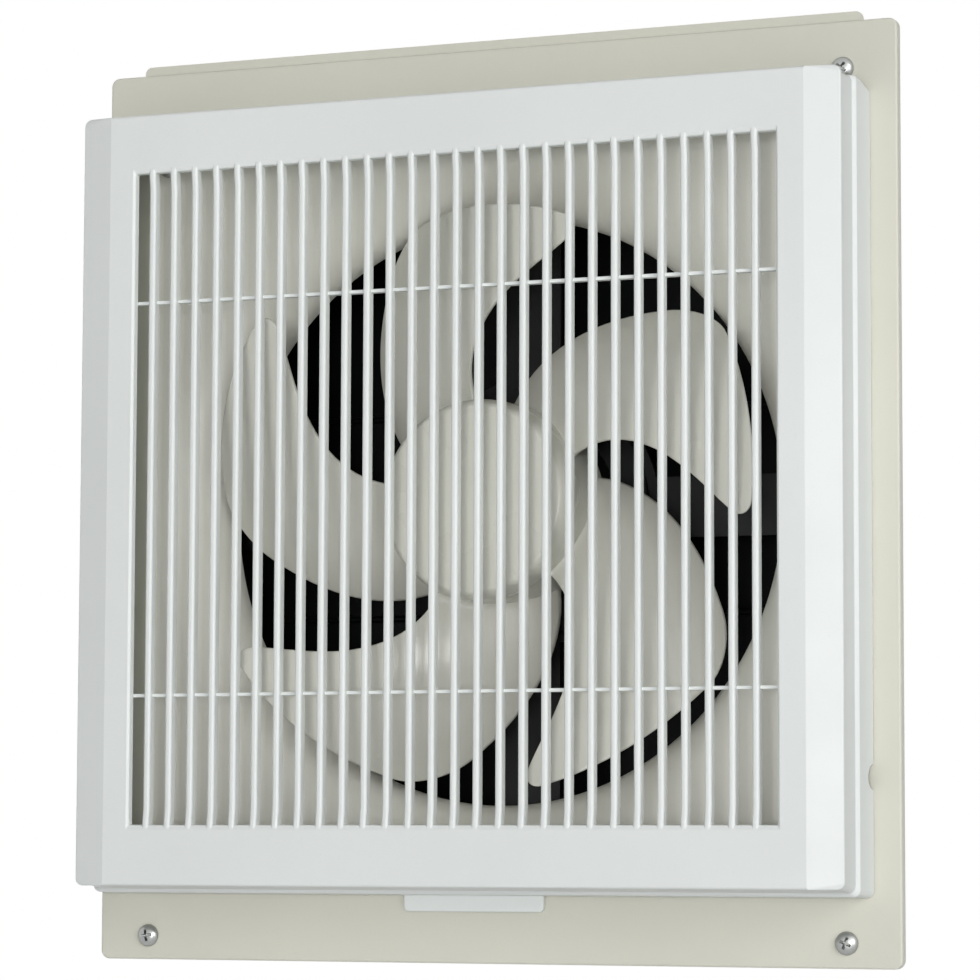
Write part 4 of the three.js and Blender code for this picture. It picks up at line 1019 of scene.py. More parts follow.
@dataclass
class FrontCover(Assembly):
    """The white cover: bevelled face, lattice, stepped skirt, tab, pins and nib."""

    centre_x: float = COVER_X
    depths: tuple[float, ...] = (
        -38.6, -37.3, -37.3, -40.3, -41.1, -41.1, -37.7, -36.1, -36.0, -20.6, -19.1, -5.0,
        -5.0, -19.1, -20.6, -34.7, -38.1,
    )
    halves: tuple[float, ...] = (
        146.4, 146.2, 143.4, 143.6, 144.6, 155.5, 170.1, 170.1, 168.7, 169.4, 171.0, 172.5,
        170.3, 168.8, 167.2, 166.5, 154.5,
    )
    tops: tuple[float, ...] = (
        145.2, 145.0, 142.1, 142.3, 144.3, 167.7, 167.7, 167.7, 166.8, 166.8, 167.4, 167.7,
        165.5, 165.2, 164.6, 164.6, 164.6,
    )
    bottoms: tuple[float, ...] = (
        -138.2, -138.0, -135.2, -135.4, -137.4, -160.9, -160.9, -160.9, -160.1, -162.3, -163.7,
        -164.4, -162.2, -161.5, -160.1, -157.9, -157.9,
    )
    corners: tuple[float, ...] = (
        0.6, 0.6, 0.5, 0.5, 0.6, 0.5, 3, 3, 3, 3, 3, 3, 2, 2, 2, 2, 0.5,
    )
    side_fillets: tuple[float, ...] = (
        0.4, 0.3, 0.4, 0.6, 0.5, 4.0, 1.4, 0.5, 0.2, 0.8, 0.7, 0.5, 0.4, 0.5, 0.5, 1.0, 3.0,
    )
    end_fillets: tuple[float, ...] = (
        0.4, 0.3, 0.4, 0.8, 0.8, 1.3, 0.1, 0.5, 0.2, 0.8, 0.7, 0.5, 0.4, 0.5, 0.5, 1.0, 0.1,
    )
    bars: int = 28
    bar_span: float = 270.0
    bar_shift: float = -0.7
    bar_width: Pair = (3.15, 2.4)
    bar_depths: Pair = (-41.08, -35.9)
    bar_ends: Pair = (-139.2, 145.4)
    bar_sink: float = 0.9
    bar_bend: Pair = (3.0, 12.0)
    rib_heights: Pair = (86.7, -80.8)
    rib_half: Pair = (144.9, 0.75)
    rib_depths: Pair = (-37.4, -33.9)
    tab_half: float = 31.3
    tab_ends: Pair = (-171.1, -162.7)
    tab_depths: Pair = (-7.5, -5.0)
    hinge: Pair = HINGE_AXIS
    pin_radius: float = 1.75
    pin_ends: Pair = (159.5, 169.6)
    nib_half: float = 14.0
    nib_y: Pair = (-10.0, -8.5)
    nib_z: Pair = (-162.75, -159.6)
    notch: tuple[float, float, float] = (-5.5, -116.0, 5.2)
    notch_reach: Pair = (164.0, 178.0)
    relief: tuple[Pair, ...] = (
        (-4.0, 161.9), (-4.0, 210.0), (-20.9, 210.0), (-20.9, 167.1), (-5.01, 161.9),
    )

    def shell(self) -> bpy.types.Object:
        """Face, bevels and skirt, as one closed skin round the opening.

        Returns:
            The shell.
        """
        side = rounded(list(zip(self.halves, self.depths)), self.side_fillets)
        top = rounded(list(zip(self.tops, self.depths)), self.end_fillets)
        low = rounded(list(zip(self.bottoms, self.depths)), self.end_fillets)
        rings = []
        for i, (half, y) in enumerate(side):
            corner = self.corners[i // 4]
            rings.append(
                rect_ring(half, low[i][0], top[i][0], (y, top[i][1]), corner, self.centre_x)
            )
        return Shape().skin(rings, loop=True).piece("moulded_front_cover")

    def lattice(self) -> list[bpy.types.Object]:
        """The upright bars and the ribs behind them.

        Returns:
            The bars as one object and the ribs as another.
        """
        bars = Shape()
        front, back = self.bar_width[0] / 2, self.bar_width[1] / 2
        y0, y1 = self.bar_depths
        low, high = self.bar_ends
        start, end = self.bar_bend
        stations = [start + (end - start) * k / 6 for k in range(7)]
        heights = [low, *(low + z for z in stations), *(high - z for z in stations[::-1]), high]
        for i in range(self.bars):
            x = self.centre_x + self.bar_shift + self.bar_span * (i / (self.bars - 1) - 0.5)
            corners = [(x - front, y0), (x + front, y0), (x + back, y1), (x - back, y1)]
            outline = rounded(corners, (1.1, 1.1, 0.35, 0.35), 4)
            rings = []
            for z in heights:
                into = min(max((min(z - low, high - z) - start) / (end - start), 0.0), 1.0)
                sink = self.bar_sink * into * into * (3 - 2 * into)
                rings.append([Vector((a, b + sink, z)) for a, b in outline])
            bars.skin(rings)
        ribs = Shape()
        for z in self.rib_heights:
            half, up = self.rib_half
            y0, y1 = self.rib_depths
            corners = [(y0, z - up), (y1, z - up), (y1, z + up), (y0, z + up)]
            ends = (self.centre_x - half, self.centre_x + half)
            ribs.prism(rounded(corners, (0.3,) * 4, 2), "X", ends)
        return [bars.piece("bars"), ribs.piece("ribs")]

    def fittings(self) -> list[bpy.types.Object]:
        """Tab, hinge pins and nib.

        Returns:
            Each as an object of its own.
        """
        low, high = self.tab_ends
        stations = rounded(
            [(0, self.tab_depths[0]), (self.tab_half, self.tab_depths[0]),
             (self.tab_half, self.tab_depths[1]), (0, self.tab_depths[1])],
            (0.1, 0.7, 0.5, 0.1),
            3,
        )
        rings = []
        for half, y in stations:
            if half > 0.5 * self.tab_half:
                inset = self.tab_half - half
                ring = rect_ring(half, low + inset, high, (y, y), 2.0, self.centre_x)
                rings.append(ring)
        made = [Shape().skin(rings).piece("tab")]
        for side in (-1, 1):
            ends = tuple(self.centre_x + side * x for x in self.pin_ends)
            pin = Shape().rod("X", self.hinge, self.pin_radius, ends)
            made.append(pin.piece("pin"))
        ends = (self.centre_x - self.nib_half, self.centre_x + self.nib_half)
        made.append(Shape().block(ends, self.nib_y, self.nib_z).piece("nib"))
        return made

    def build(self) -> None:
        """Builds and dresses the cover."""
        cover = self.shell()
        relief = Shape().prism(self.relief, "X", (-200.0, 200.0)).piece("relief")
        y, z, radius = self.notch
        reach = tuple(self.centre_x + x for x in self.notch_reach)
        notch = Shape().rod("X", (y, z), radius, reach, 0.05, 40).piece("notch")
        worked(cover, [relief], Cut.REMOVE)
        worked(cover, self.lattice() + self.fittings(), Cut.ADD)
        worked(cover, [notch], Cut.REMOVE)
        self.dress(settled(cover), COVER_WHITE, Body.COVER, "front_cover")


@dataclass
class MountingPlate(Assembly):
    """The beige plate behind the cover: a shallow tray with a tongue on its top edge."""

    half_x: float = 179.3
    half_z: float = 192.5
    corner: float = 3.8
    front: float = -4.5
    skin: float = 2.2
    rim: float = 2.0
    edge: float = 0.9
    face_inset: float = 20.0
    tray_inset: float = 12.0
    hole: float = 151.5
    hole_lap: float = 3.0
    tongue_half: float = 164.0
    tongue_lap: float = 4.3
    tongue_top: float = 196.8
    tongue_depth: float = -1.6
    bosses: tuple[Pair, ...] = (
        (-156.3, 172.7), (156.3, 172.7), (-156.3, -182.3), (156.3, -182.3),
    )
    boss_half: Pair = (9.5, 7.0)
    boss_lap: float = 0.6
    back: float = -0.02
    count: int = 240

    def build(self) -> None:
        """Builds and dresses the plate."""
        back = self.front + self.skin
        rim = rounded(
            [(self.face_inset, self.front), (0.0, self.front), (0.0, 0.0)],
            (0, self.edge, 0),
            4,
            False,
        )
        tray = [(self.rim, 0.0), (self.rim, back), (self.rim + self.tray_inset, back)]
        rings = [self.rectangle(inset, y) for inset, y in rim + tray]
        opening = rounded(
            [(self.hole + self.hole_lap, back), (self.hole, back), (self.hole, self.front),
             (self.hole + self.hole_lap, self.front)],
            (0, 0.2, 0.3, 0),
            2,
            False,
        )
        rings += [circle_ring(self.count, y, radius) for radius, y in opening]
        plate = Shape().skin(rings, loop=True).piece("moulded_mounting_plate")
        half, low, high = self.tongue_half, self.half_z - self.tongue_lap, self.tongue_top
        outline = rounded(
            [(-half, low), (half, low), (half, high), (-half, high)], (0.2, 0.2, 3.0, 3.0), 5
        )
        tongue = Shape().prism(outline, "Y", (self.tongue_depth, self.back))
        parts = [tongue.piece("tongue")]
        for x, z in self.bosses:
            a, b = self.boss_half
            corners = [(x - a, z - b), (x + a, z - b), (x + a, z + b), (x - a, z + b)]
            boss = Shape().prism(rounded(corners, (3.0,) * 4, 5), "Y",
                                 (back - self.boss_lap, self.back))
            parts.append(boss.piece("boss"))
        worked(plate, parts, Cut.ADD)
        self.dress(settled(plate), PLATE_BEIGE, Body.FRAME, "mounting_plate")

    def rectangle(self, inset: float, y: float) -> Ring:
        """Ring round the plate, set in from its edge."""
        corner = max(self.corner - inset, 0.6)
        return box_ring(self.count, y, self.half_x - inset, self.half_z - inset, corner)


@dataclass
class OrificePanel(Assembly):
    """The square panel with its bell mouth, throat and collar."""

    half: float = 157.0
    corner: float = 6.0
    front: float = -7.0
    back: float = -5.0
    mouth: float = 155.0
    throat: float = 124.5
    throat_y: float = 15.0
    collar_y: float = 16.4
    throat_drop: float = 2.4
    wall: float = 2.0
    count: int = 240
    steps: int = 18

    def build(self) -> None:
        """Builds and dresses the panel."""
        rings = [
            box_ring(self.count, self.back, self.half, self.half, self.corner),
            box_ring(self.count, self.front + 0.5, self.half, self.half, self.corner),
            box_ring(self.count, self.front + 0.15, self.half - 0.15, self.half - 0.15,
                     self.corner),
            box_ring(self.count, self.front, self.half - 0.5, self.half - 0.5, self.corner),
        ]
        inside, outside = [], []
        wide = self.mouth - self.throat
        deep = self.throat_y - self.front
        for i in range(self.steps + 1):
            angle = math.pi / 2 * i / self.steps
            s, c = math.sin(angle), math.cos(angle)
            inside.append((self.mouth - wide * s, self.throat_y - deep * c))
            outside.append(
                (self.mouth - (wide - self.wall) * s, self.throat_y - (deep - self.wall) * c)
            )
        end = self.collar_y
        lip = [
            (self.throat, end - 0.4), (self.throat + 0.4, end),
            (self.throat + self.wall - 0.4, end), (self.throat + self.wall, end - 0.4),
        ]
        for radius, y in [*inside, *lip, *outside[::-1]]:
            drop = self.throat_drop * min((self.mouth - radius) / wide, 1.0)
            ring = circle_ring(self.count, y, radius)
            rings.append([p - Vector((0.0, 0.0, drop)) for p in ring])
        panel = Shape().skin(rings, loop=True).piece("moulded_orifice_panel")
        self.dress(settled(panel, 40.0), ORIFICE_GREY_WITH_PAINTED_LIGHT, Body.FRAME, "orifice_panel")


@dataclass
class FanWheel(Assembly):
    """The five-bladed wheel, the cap in its hub, its shaft and its drive pin."""

    blades: int = 5
    radius: float = 124.0
    hub: float = 42.4
    hub_wall: float = 2.4
    front: float = -10.3
    rear: float = 22.0
    flare: float = 0.6
    floor: float = -7.0
    boss: float = 9.0
    bore: float = 4.3
    lead: tuple[float, ...] = (-6.2, -11.4, 21.0, 24.4)
    trail: tuple[float, ...] = (-70.0, -54.0, -33.0, -21.8)
    lead_y: Pair = (-4.0, -27.2)
    trail_y: Pair = (21.0, 10.0)
    camber: float = 0.075
    thick: Pair = (3.2, 1.7)
    root_swell: Pair = (3.0, 1.6)
    tip_rounds: Pair = (9.0, 15.0)
    edge_round: float = 0.9
    cap_face: float = 38.2
    cap_front: float = -21.2
    cap_rear: float = -10.6
    cap_crown: float = 0.7
    cap_wall: float = 2.2
    cap_rim: float = 10.5
    cap_pace: float = 2.3
    spigot: Pair = (39.6, -7.6)
    slot: float = 1.8
    pin_y: float = 19.4
    pin_hole: float = 1.8
    pin_radius: float = 1.5
    shaft_ends: Pair = (-16.5, 62.1)
    arrow_angles: tuple[float, float, float] = (-37.0, -58.0, -67.0)
    arrow_line: tuple[float, float, float, float] = (1.4, 2.1, 3.3, 0.5)

    @staticmethod
    def cubic(values: Sequence[float], t: float) -> float:
        """Value of a cubic curve.

        Args:
            values: Its four control values.
            t: Place along it, from 0 to 1.

        Returns:
            The value.
        """
        s = 1 - t
        a, b, c, d = values
        return s**3 * a + 3 * s * s * t * b + 3 * s * t * t * c + t**3 * d

    def trim(self, radius: float, round_off: float) -> float:
        """Angle taken off a blade's edge near its tip so that the corner is round.

        Args:
            radius: Distance from the axis.
            round_off: Radius of the corner.

        Returns:
            The angle.
        """
        into = radius - (self.radius - round_off)
        if into <= 0:
            return 0.0
        t = min(into / round_off, 1.0)
        return round_off * (1 - math.sqrt(max(1 - t * t, 0.0))) / radius

    def section(self, radius: float, root: float) -> Ring:
        """One section of a blade, wrapped on a cylinder.

        Args:
            radius: The cylinder's radius.
            root: Radius at which the blade starts.

        Returns:
            The section's outline.
        """
        t = min((radius - root) / (self.radius - root), 1.0)
        full_lead = math.radians(self.cubic(self.lead, t))
        full_trail = math.radians(self.cubic(self.trail, t))
        lead = full_lead - self.trim(radius, self.tip_rounds[0])
        trail = full_trail + self.trim(radius, self.tip_rounds[1])
        chord = radius * (full_lead - full_trail)
        length = radius * (lead - trail)
        thick = self.thick[0] + (self.thick[1] - self.thick[0]) * t
        swell, fade = self.root_swell
        thick += swell * math.exp(-max(radius - self.hub, 0.0) / fade)
        tip = min((self.radius - radius) / self.edge_round, 1.0)
        tip_share = math.sqrt(max(1 - (1 - tip) ** 2, 0.0))
        near = [0.0, 0.08, 0.3, 0.6, 1.0]
        ends = [d * self.edge_round for d in near]
        plain = 26
        span = length - 2 * self.edge_round
        along = ends + [self.edge_round + span * k / plain for k in range(1, plain)]
        along += [length - d for d in reversed(ends)]
        front, back = [], []
        for d in along:
            angle = lead - d / radius
            share = (full_lead - angle) / (full_lead - full_trail)
            bow = self.camber * chord * 4 * share * (1 - share)
            y = self.lead_y[0] + (self.lead_y[1] - self.lead_y[0]) * t
            y_end = self.trail_y[0] + (self.trail_y[1] - self.trail_y[0]) * t
            y += (y_end - y) * share - bow
            into = min(min(d, length - d) / self.edge_round, 1.0)
            half = thick / 2 * math.sqrt(max(1 - (1 - into) ** 2, 0.0)) * tip_share
            x, z = radius * math.sin(angle), radius * math.cos(angle)
            front.append(Vector((x, y - half, z)))
            back.append(Vector((x, y + half, z)))
        return front + back[::-1]

    def blade(self, turn: float) -> bpy.types.Object:
        """One blade.

        Args:
            turn: Its angle round the axis.

        Returns:
            The blade.
        """
        root = self.hub - self.hub_wall / 2
        inner = self.radius - self.tip_rounds[1]
        near_hub = [root, self.hub, self.hub + 0.8, self.hub + 1.8, self.hub + 3.2]
        radii = near_hub + [self.hub + 5 + (inner - self.hub - 5) * k / 24 for k in range(25)]
        steps = 14
        for k in range(1, steps + 1):
            radii.append(inner + self.tip_rounds[1] * math.sin(math.pi / 2 * k / steps))
        shape = Shape().skin([self.section(r, root) for r in radii])
        shape.turn(Matrix.Rotation(turn, 4, "Y"))
        return shape.piece("blade")

    def hub_shape(self) -> bpy.types.Object:
        """The hub: a cup with a boss and five webs.

        Returns:
            The hub.
        """
        out, wall = self.hub + self.flare, self.hub_wall
        outline = [
            (self.hub - wall, self.floor), (self.hub - wall, self.front), (self.hub, self.front),
            (out, self.rear), (out - wall, self.rear), (self.hub - wall, self.floor + wall),
            (self.boss, self.floor + wall), (self.boss, self.rear - 1),
            (self.bore, self.rear - 1), (self.bore, self.floor),
        ]
        fillets = (0.3, 0.3, 0.4, 0.5, 0.4, 1.5, 0.8, 0.4, 0.3, 0.3)
        hub = Shape().turned(rounded(outline, fillets, 4), 160).piece("moulded_fan_wheel")
        webs = []
        for k in range(self.blades):
            web = Shape().block((self.boss - 1, self.hub - 1.5),
                                (self.floor + 1, self.rear - 5), (-0.8, 0.8))
            web.turn(Matrix.Rotation(TAU * (k + 0.5) / self.blades, 4, "Y"))
            webs.append(web.piece("web"))
        return worked(hub, webs, Cut.ADD)

    def cap_point(self, along: float) -> tuple[Vector, Vector]:
        """A point of the cap's outer profile, and the way it faces.

        Args:
            along: How far past the face's edge, in millimetres, less than 0 on the face.

        Returns:
            The point and the normal, both as (radius, y).
        """
        if along <= 0:
            return Vector((self.cap_face + along, self.cap_front)), Vector((0, -1))
        wide, deep = self.hub - self.cap_face, self.cap_rear - self.cap_front
        turn = min(along / (wide + deep) * self.cap_pace, math.pi / 2)
        s, c = math.sin(turn), math.cos(turn)
        point = Vector((self.cap_face + wide * s, self.cap_rear - deep * c))
        return point, Vector((s / wide, -c / deep)).normalized()

    def arrow(self) -> bpy.types.Object:
        """A plain arrow raised on the cap's rim, along the way that the wheel turns.

        Returns:
            The arrow.
        """
        tail, neck, tip = self.arrow_angles
        middle, body, head, rise = self.arrow_line
        steps, head_steps, blunt, sink = 12, 6, 0.05, -0.6
        stations = [(tail + (neck - tail) * k / steps, body) for k in range(steps + 1)]
        stations += [(neck - 0.02, head)]
        for k in range(1, head_steps + 1):
            half = head * (1 - k / head_steps) + blunt
            stations.append((neck + (tip - neck) * k / head_steps, half))
        rings = []
        across = [k / 4 - 1 for k in range(9)]
        for degrees, half in stations:
            angle = math.radians(degrees)
            ring = []
            for lift, order in ((rise, across), (sink, across[::-1])):
                for share in order:
                    point, normal = self.cap_point(middle + half * share)
                    r, y = point + normal * lift
                    ring.append(Vector((r * math.cos(angle), y, r * math.sin(angle))))
            rings.append(ring)
        return Shape().skin(rings).piece("arrow")

    def build(self) -> None:
        """Builds and dresses the wheel, cap, shaft and pin."""
        wheel = self.hub_shape()
        blades = [self.blade(TAU * k / self.blades) for k in range(self.blades)]
        worked(wheel, blades, Cut.ADD)
        slot = Shape().block((-10.0, 10.0), (self.rear - 4.4, self.rear + 1),
                             (-self.slot, self.slot))
        worked(wheel, [slot.piece("slot")], Cut.REMOVE)
        self.dress(settled(wheel, 38.0), WHEEL_CREAM, Body.ROTOR, "fan_wheel")

        face, front, rear = self.cap_face, self.cap_front, self.cap_rear
        crown = [(face * k / 6, front - self.cap_crown * (1 - (k / 6) ** 2)) for k in range(6)]
        rim = [tuple(self.cap_point(self.cap_rim * k / 14)[0]) for k in range(15)]
        snug, deep = self.spigot
        floor = front + self.cap_wall
        outline = [
            rim[-1], (self.hub, rear), (snug, rear), (snug, deep),
            (snug - self.cap_wall, deep), (face - self.cap_wall, floor),
            (self.boss - 1, floor), (self.boss - 1, deep), (self.bore, deep),
            (self.bore, floor), (0.0, floor),
        ]
        inside = rounded(outline, (0, 0.15, 0.2, 0.3, 0.3, 2.0, 0.5, 0.3, 0.2, 0.2, 0), 4, False)
        profile = crown + rim + inside[1:]
        cap = Shape().turned(profile, 160).piece("moulded_spinner_cap")
        worked(cap, [self.arrow()], Cut.ADD)
        self.dress(settled(cap, 38.0), CAP_CREAM, Body.ROTOR, "spinner_cap")

        shaft = Shape().rod("Y", (0.0, 0.0), 4.0, self.shaft_ends, 0.5, 48).piece("ground_shaft")
        across = (self.pin_y, 0.0)
        hole = Shape().rod("X", across, self.pin_hole, (-6.0, 6.0), 0.05, 24)
        worked(shaft, [hole.piece("hole")], Cut.REMOVE)
        self.dress(settled(shaft), STEEL, Body.ROTOR, "motor_shaft")
        pin = Shape().rod("X", across, self.pin_radius, (-9.0, 9.0), 0.4, 24)
        self.dress(settled(pin.piece("ground_pin")), STEEL, Body.ROTOR, "drive_pin")


@dataclass(frozen=True)
class ScrewSize:
    """Sizes of one kind of pan-head screw."""

    name: str
    head: float
    rise: float
    shank: float
    length: float
    pitch: float
    recess: float = 0.56
    segments: int = 24


MOUNTING_SCREW = ScrewSize("mounting", 4.8, 2.9, 2.0, 25.0, 1.6, segments=28)
PANEL_SCREW = ScrewSize("panel", 3.4, 2.0, 1.5, 9.0, 1.2)
FOOT_SCREW = ScrewSize("foot", 3.4, 2.0, 1.5, 6.5, 1.2)
HINGE_SCREW = ScrewSize("hinge", 3.4, 2.0, 1.5, 6.0, 1.2)
CATCH_SCREW = ScrewSize("catch", 2.2, 1.2, 1.5, 5.0, 1.2)
LID_SCREW = ScrewSize("lid", 3.4, 2.0, 1.5, 7.0, 1.2)
CLAMP_SCREW = ScrewSize("clamp", 3.4, 2.0, 1.5, 4.0, 1.2)


class Heading(Enum):
    """The way that a screw's shank points."""

    OUT = (0, 1, 0)
    IN = (0, -1, 0)
    UP = (0, 0, 1)
    DOWN = (0, 0, -1)
    RIGHT = (1, 0, 0)
    LEFT = (-1, 0, 0)


@dataclass
class Screws(Assembly):
    """Every screw: pan head with a cross recess, and a threaded shank."""

    recess_width: float = 0.15
    recess_depth: float = 0.62
    recess_spread: float = 1.7
    recess_taper: Pair = (1.12, 0.5)
    crown: tuple[Pair, ...] = ((0.0, 1.0), (0.35, 0.975), (0.62, 0.88), (0.82, 0.68), (0.94, 0.42))
    thread: float = 0.32
    hidden_drop: float = 2.6
    made: dict[str, bpy.types.Mesh] = field(default_factory=dict)

    def head_profile(self, size: ScrewSize) -> list[Pair]:
        """Outline of a head, from its middle to the shank.

        Args:
            size: The screw's sizes.

        Returns:
            The outline as (radius, y).
        """
        profile = [(r * size.head, -h * size.rise) for r, h in self.crown]
        profile += [(size.head, -0.2 * size.rise), (size.head, -0.06 * size.rise)]
        profile += [(size.head - 0.12, 0.0), (size.shank, 0.0)]
        return profile

    def shank_rings(self, size: ScrewSize) -> list[Ring]:
        """Rings down the threaded shank to its point.

        Args:
            size: The screw's sizes.

        Returns:
            The rings.
        """
        step = size.pitch / 6
        count = int(size.length / step)
        rings = []
        for j in range(1, count + 1):
            y = size.length * j / count
            run_in = min(y / size.pitch, 1.0)
            point = min((size.length - y) / (1.6 * size.shank), 1.0)
            ring = []
            for i in range(size.segments):
                a = TAU * i / size.segments
                phase = (y / size.pitch - i / size.segments) % 1.0
                groove = self.thread * abs(2 * phase - 1) * run_in
                r = max((size.shank - groove) * (0.25 + 0.75 * point), 0.2)
                ring.append(Vector((r * math.cos(a), y, r * math.sin(a))))
            rings.append(ring)
        return rings

    def mesh(self, size: ScrewSize) -> bpy.types.Mesh:
        """The mesh of one kind of screw, along +Y from its seat, in metres.

        Args:
            size: The screw's sizes.

        Returns:
            The mesh.
        """
        if size.name not in self.made:
            rings = [circle_ring(size.segments * 2, y, max(r, 1e-4))
                     for r, y in self.head_profile(size)]
            head = Shape().skin(rings).piece("head")
            shank = Shape().skin(
                [circle_ring(size.segments, -0.3, size.shank)] + self.shank_rings(size)
            ).piece("shank")
            arm = size.recess * size.head
            half = self.recess_width * size.head / 2 * self.recess_spread
            top, floor = -size.rise - 0.3, -size.rise * (1 - self.recess_depth)
            for wide, long in ((half, arm), (arm, half)):
                rings = []
                for y, share in zip((top, floor), self.recess_taper):
                    a, b = wide * share, long * share
                    rings.append([Vector(p) for p in
                                  ((-a, y, -b), (a, y, -b), (a, y, b), (-a, y, b))])
                worked(head, [Shape().skin(rings).piece("recess")], Cut.REMOVE)
            worked(head, [shank], Cut.ADD)
            settled(head, 35.0)
            self.made[size.name] = head.data.copy()
            bpy.data.objects.remove(head)
        return self.made[size.name]

    def put(
        self,
        node: str,
        size: ScrewSize,
        heading: Heading,
        body: Body,
        spin: float,
        drop: float = 0.0,
    ) -> None:
        """Puts one screw where its node is.

        Args:
            node: The node that the screw stands for.
            size: Its sizes.
            heading: The way that its shank points.
            body: The body it rides on.
            spin: Turn about its own axis, in degrees.
            drop: How much lower than its node it sits, in millimetres.
        """
        low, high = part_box(node)
        axis = Vector(heading.value)
        middle = (low + high) / 2 - Vector((0.0, 0.0, drop * MM))
        reach = (size.rise + size.length) * MM
        seat = middle + axis * (size.rise * MM - reach / 2)
        turn = Vector((0, 1, 0)).rotation_difference(axis).to_matrix().to_4x4()
        own = Matrix.Rotation(math.radians(spin), 4, "Y")
        data = self.mesh(size).copy()
        data.transform(Matrix.Translation(seat) @ turn @ own)
        piece = bpy.data.objects.new("pan_" + node, data)
        bpy.context.scene.collection.objects.link(piece)
        evened(piece)
        self.dress(piece, ZINC, body, node)

    def build(self) -> None:
        """Builds and dresses all the screws."""
        turns = {"tl": 12.0, "tr": 38.0, "bl": -8.0, "br": 22.0}
        for tag, spin in turns.items():
            drop = self.hidden_drop if tag == "tl" else 0.0
            self.put(f"mounting_screw_{tag}", MOUNTING_SCREW, Heading.OUT, Body.FRAME, spin, drop)
            self.put(f"orifice_screw_{tag}", PANEL_SCREW, Heading.OUT, Body.FRAME, 3 * spin)
            self.put(f"motor_screw_{tag}", PANEL_SCREW, Heading.OUT, Body.FRAME, 5 * spin)
        for tag, spin in (("left", 31.0), ("right", 64.0)):
            self.put(f"hinge_screw_{tag}", HINGE_SCREW, Heading.OUT, Body.FRAME, spin)
            self.put(f"catch_screw_{tag}", CATCH_SCREW, Heading.OUT, Body.FRAME, -spin)
        feet = {
            "top": Heading.DOWN, "bottom": Heading.UP,
            "left": Heading.RIGHT, "right": Heading.LEFT,
        }
        for spin, (tag, heading) in enumerate(feet.items()):
            self.put(f"bracket_screw_{tag}", FOOT_SCREW, heading, Body.FRAME, 23.0 * spin)
        self.put("terminal_lid_screw", LID_SCREW, Heading.IN, Body.FRAME, 17.0)
        self.put("clamp_screw", CLAMP_SCREW, Heading.DOWN, Body.FRAME, 50.0)


@dataclass
class HingeAndCatch(Assembly):
    """The cover's two hinge brackets and its spring catch."""

    centre_x: float = COVER_X
    ear: Pair = (160.5, 162.9)
    foot_width: float = 15.0
    axis: Pair = HINGE_AXIS
    ear_half: float = 4.0
    seat: float = -4.8
    foot: float = 1.5
    bore: float = 2.05

    def bracket(self, side: int) -> bpy.types.Object:
        """One hinge bracket.

        Args:
            side: -1 on the left, 1 on the right.

        Returns:
            The bracket.
        """
        y, z = self.axis
        low, high = z - self.ear_half, z + self.ear_half - 1
        outline = [(self.seat, low), (self.seat, high)]
        radius = (high - low) / 2
        for k in range(17):
            angle = math.pi / 2 + math.pi * k / 16
            outline.append((y + radius * math.cos(angle), (low + high) / 2
                            + radius * math.sin(angle)))
        x0, x1 = sorted(self.centre_x + side * x for x in self.ear)
        ear = Shape().prism(outline, "X", (x0, x1)).piece("formed_hinge_bracket")
        ends = sorted(
            self.centre_x + side * x for x in (self.ear[0] - self.foot_width, self.ear[1])
        )
        foot = Shape().block(tuple(ends), (self.seat - self.foot, self.seat),
                             (z - self.ear_half, z + self.ear_half))
        worked(ear, [foot.piece("foot")], Cut.ADD)
        bore = Shape().rod("X", self.axis, self.bore, (x0 - 1, x1 + 1), 0.05, 32)
        hole_x = self.centre_x + side * (self.ear[0] - self.foot_width / 2)
        hole = Shape().rod("Y", (hole_x, z), 1.85, (self.seat - 3, self.seat + 1), 0.05, 32)
        return worked(ear, [bore.piece("bore"), hole.piece("hole")], Cut.REMOVE)

    def build(self) -> None:
        """Builds and dresses the brackets and the catch."""
        for side, tag in ((-1, "left"), (1, "right")):
            piece = self.bracket(side)
            piece.name = f"formed_hinge_bracket_{tag}"
            settled(piece, 32.0, 0.25)
            self.dress(piece, GALVANISED, Body.FRAME, f"hinge_bracket_{tag}")
        self.keep("cover_catch", SPRING_STEEL, 0.2)


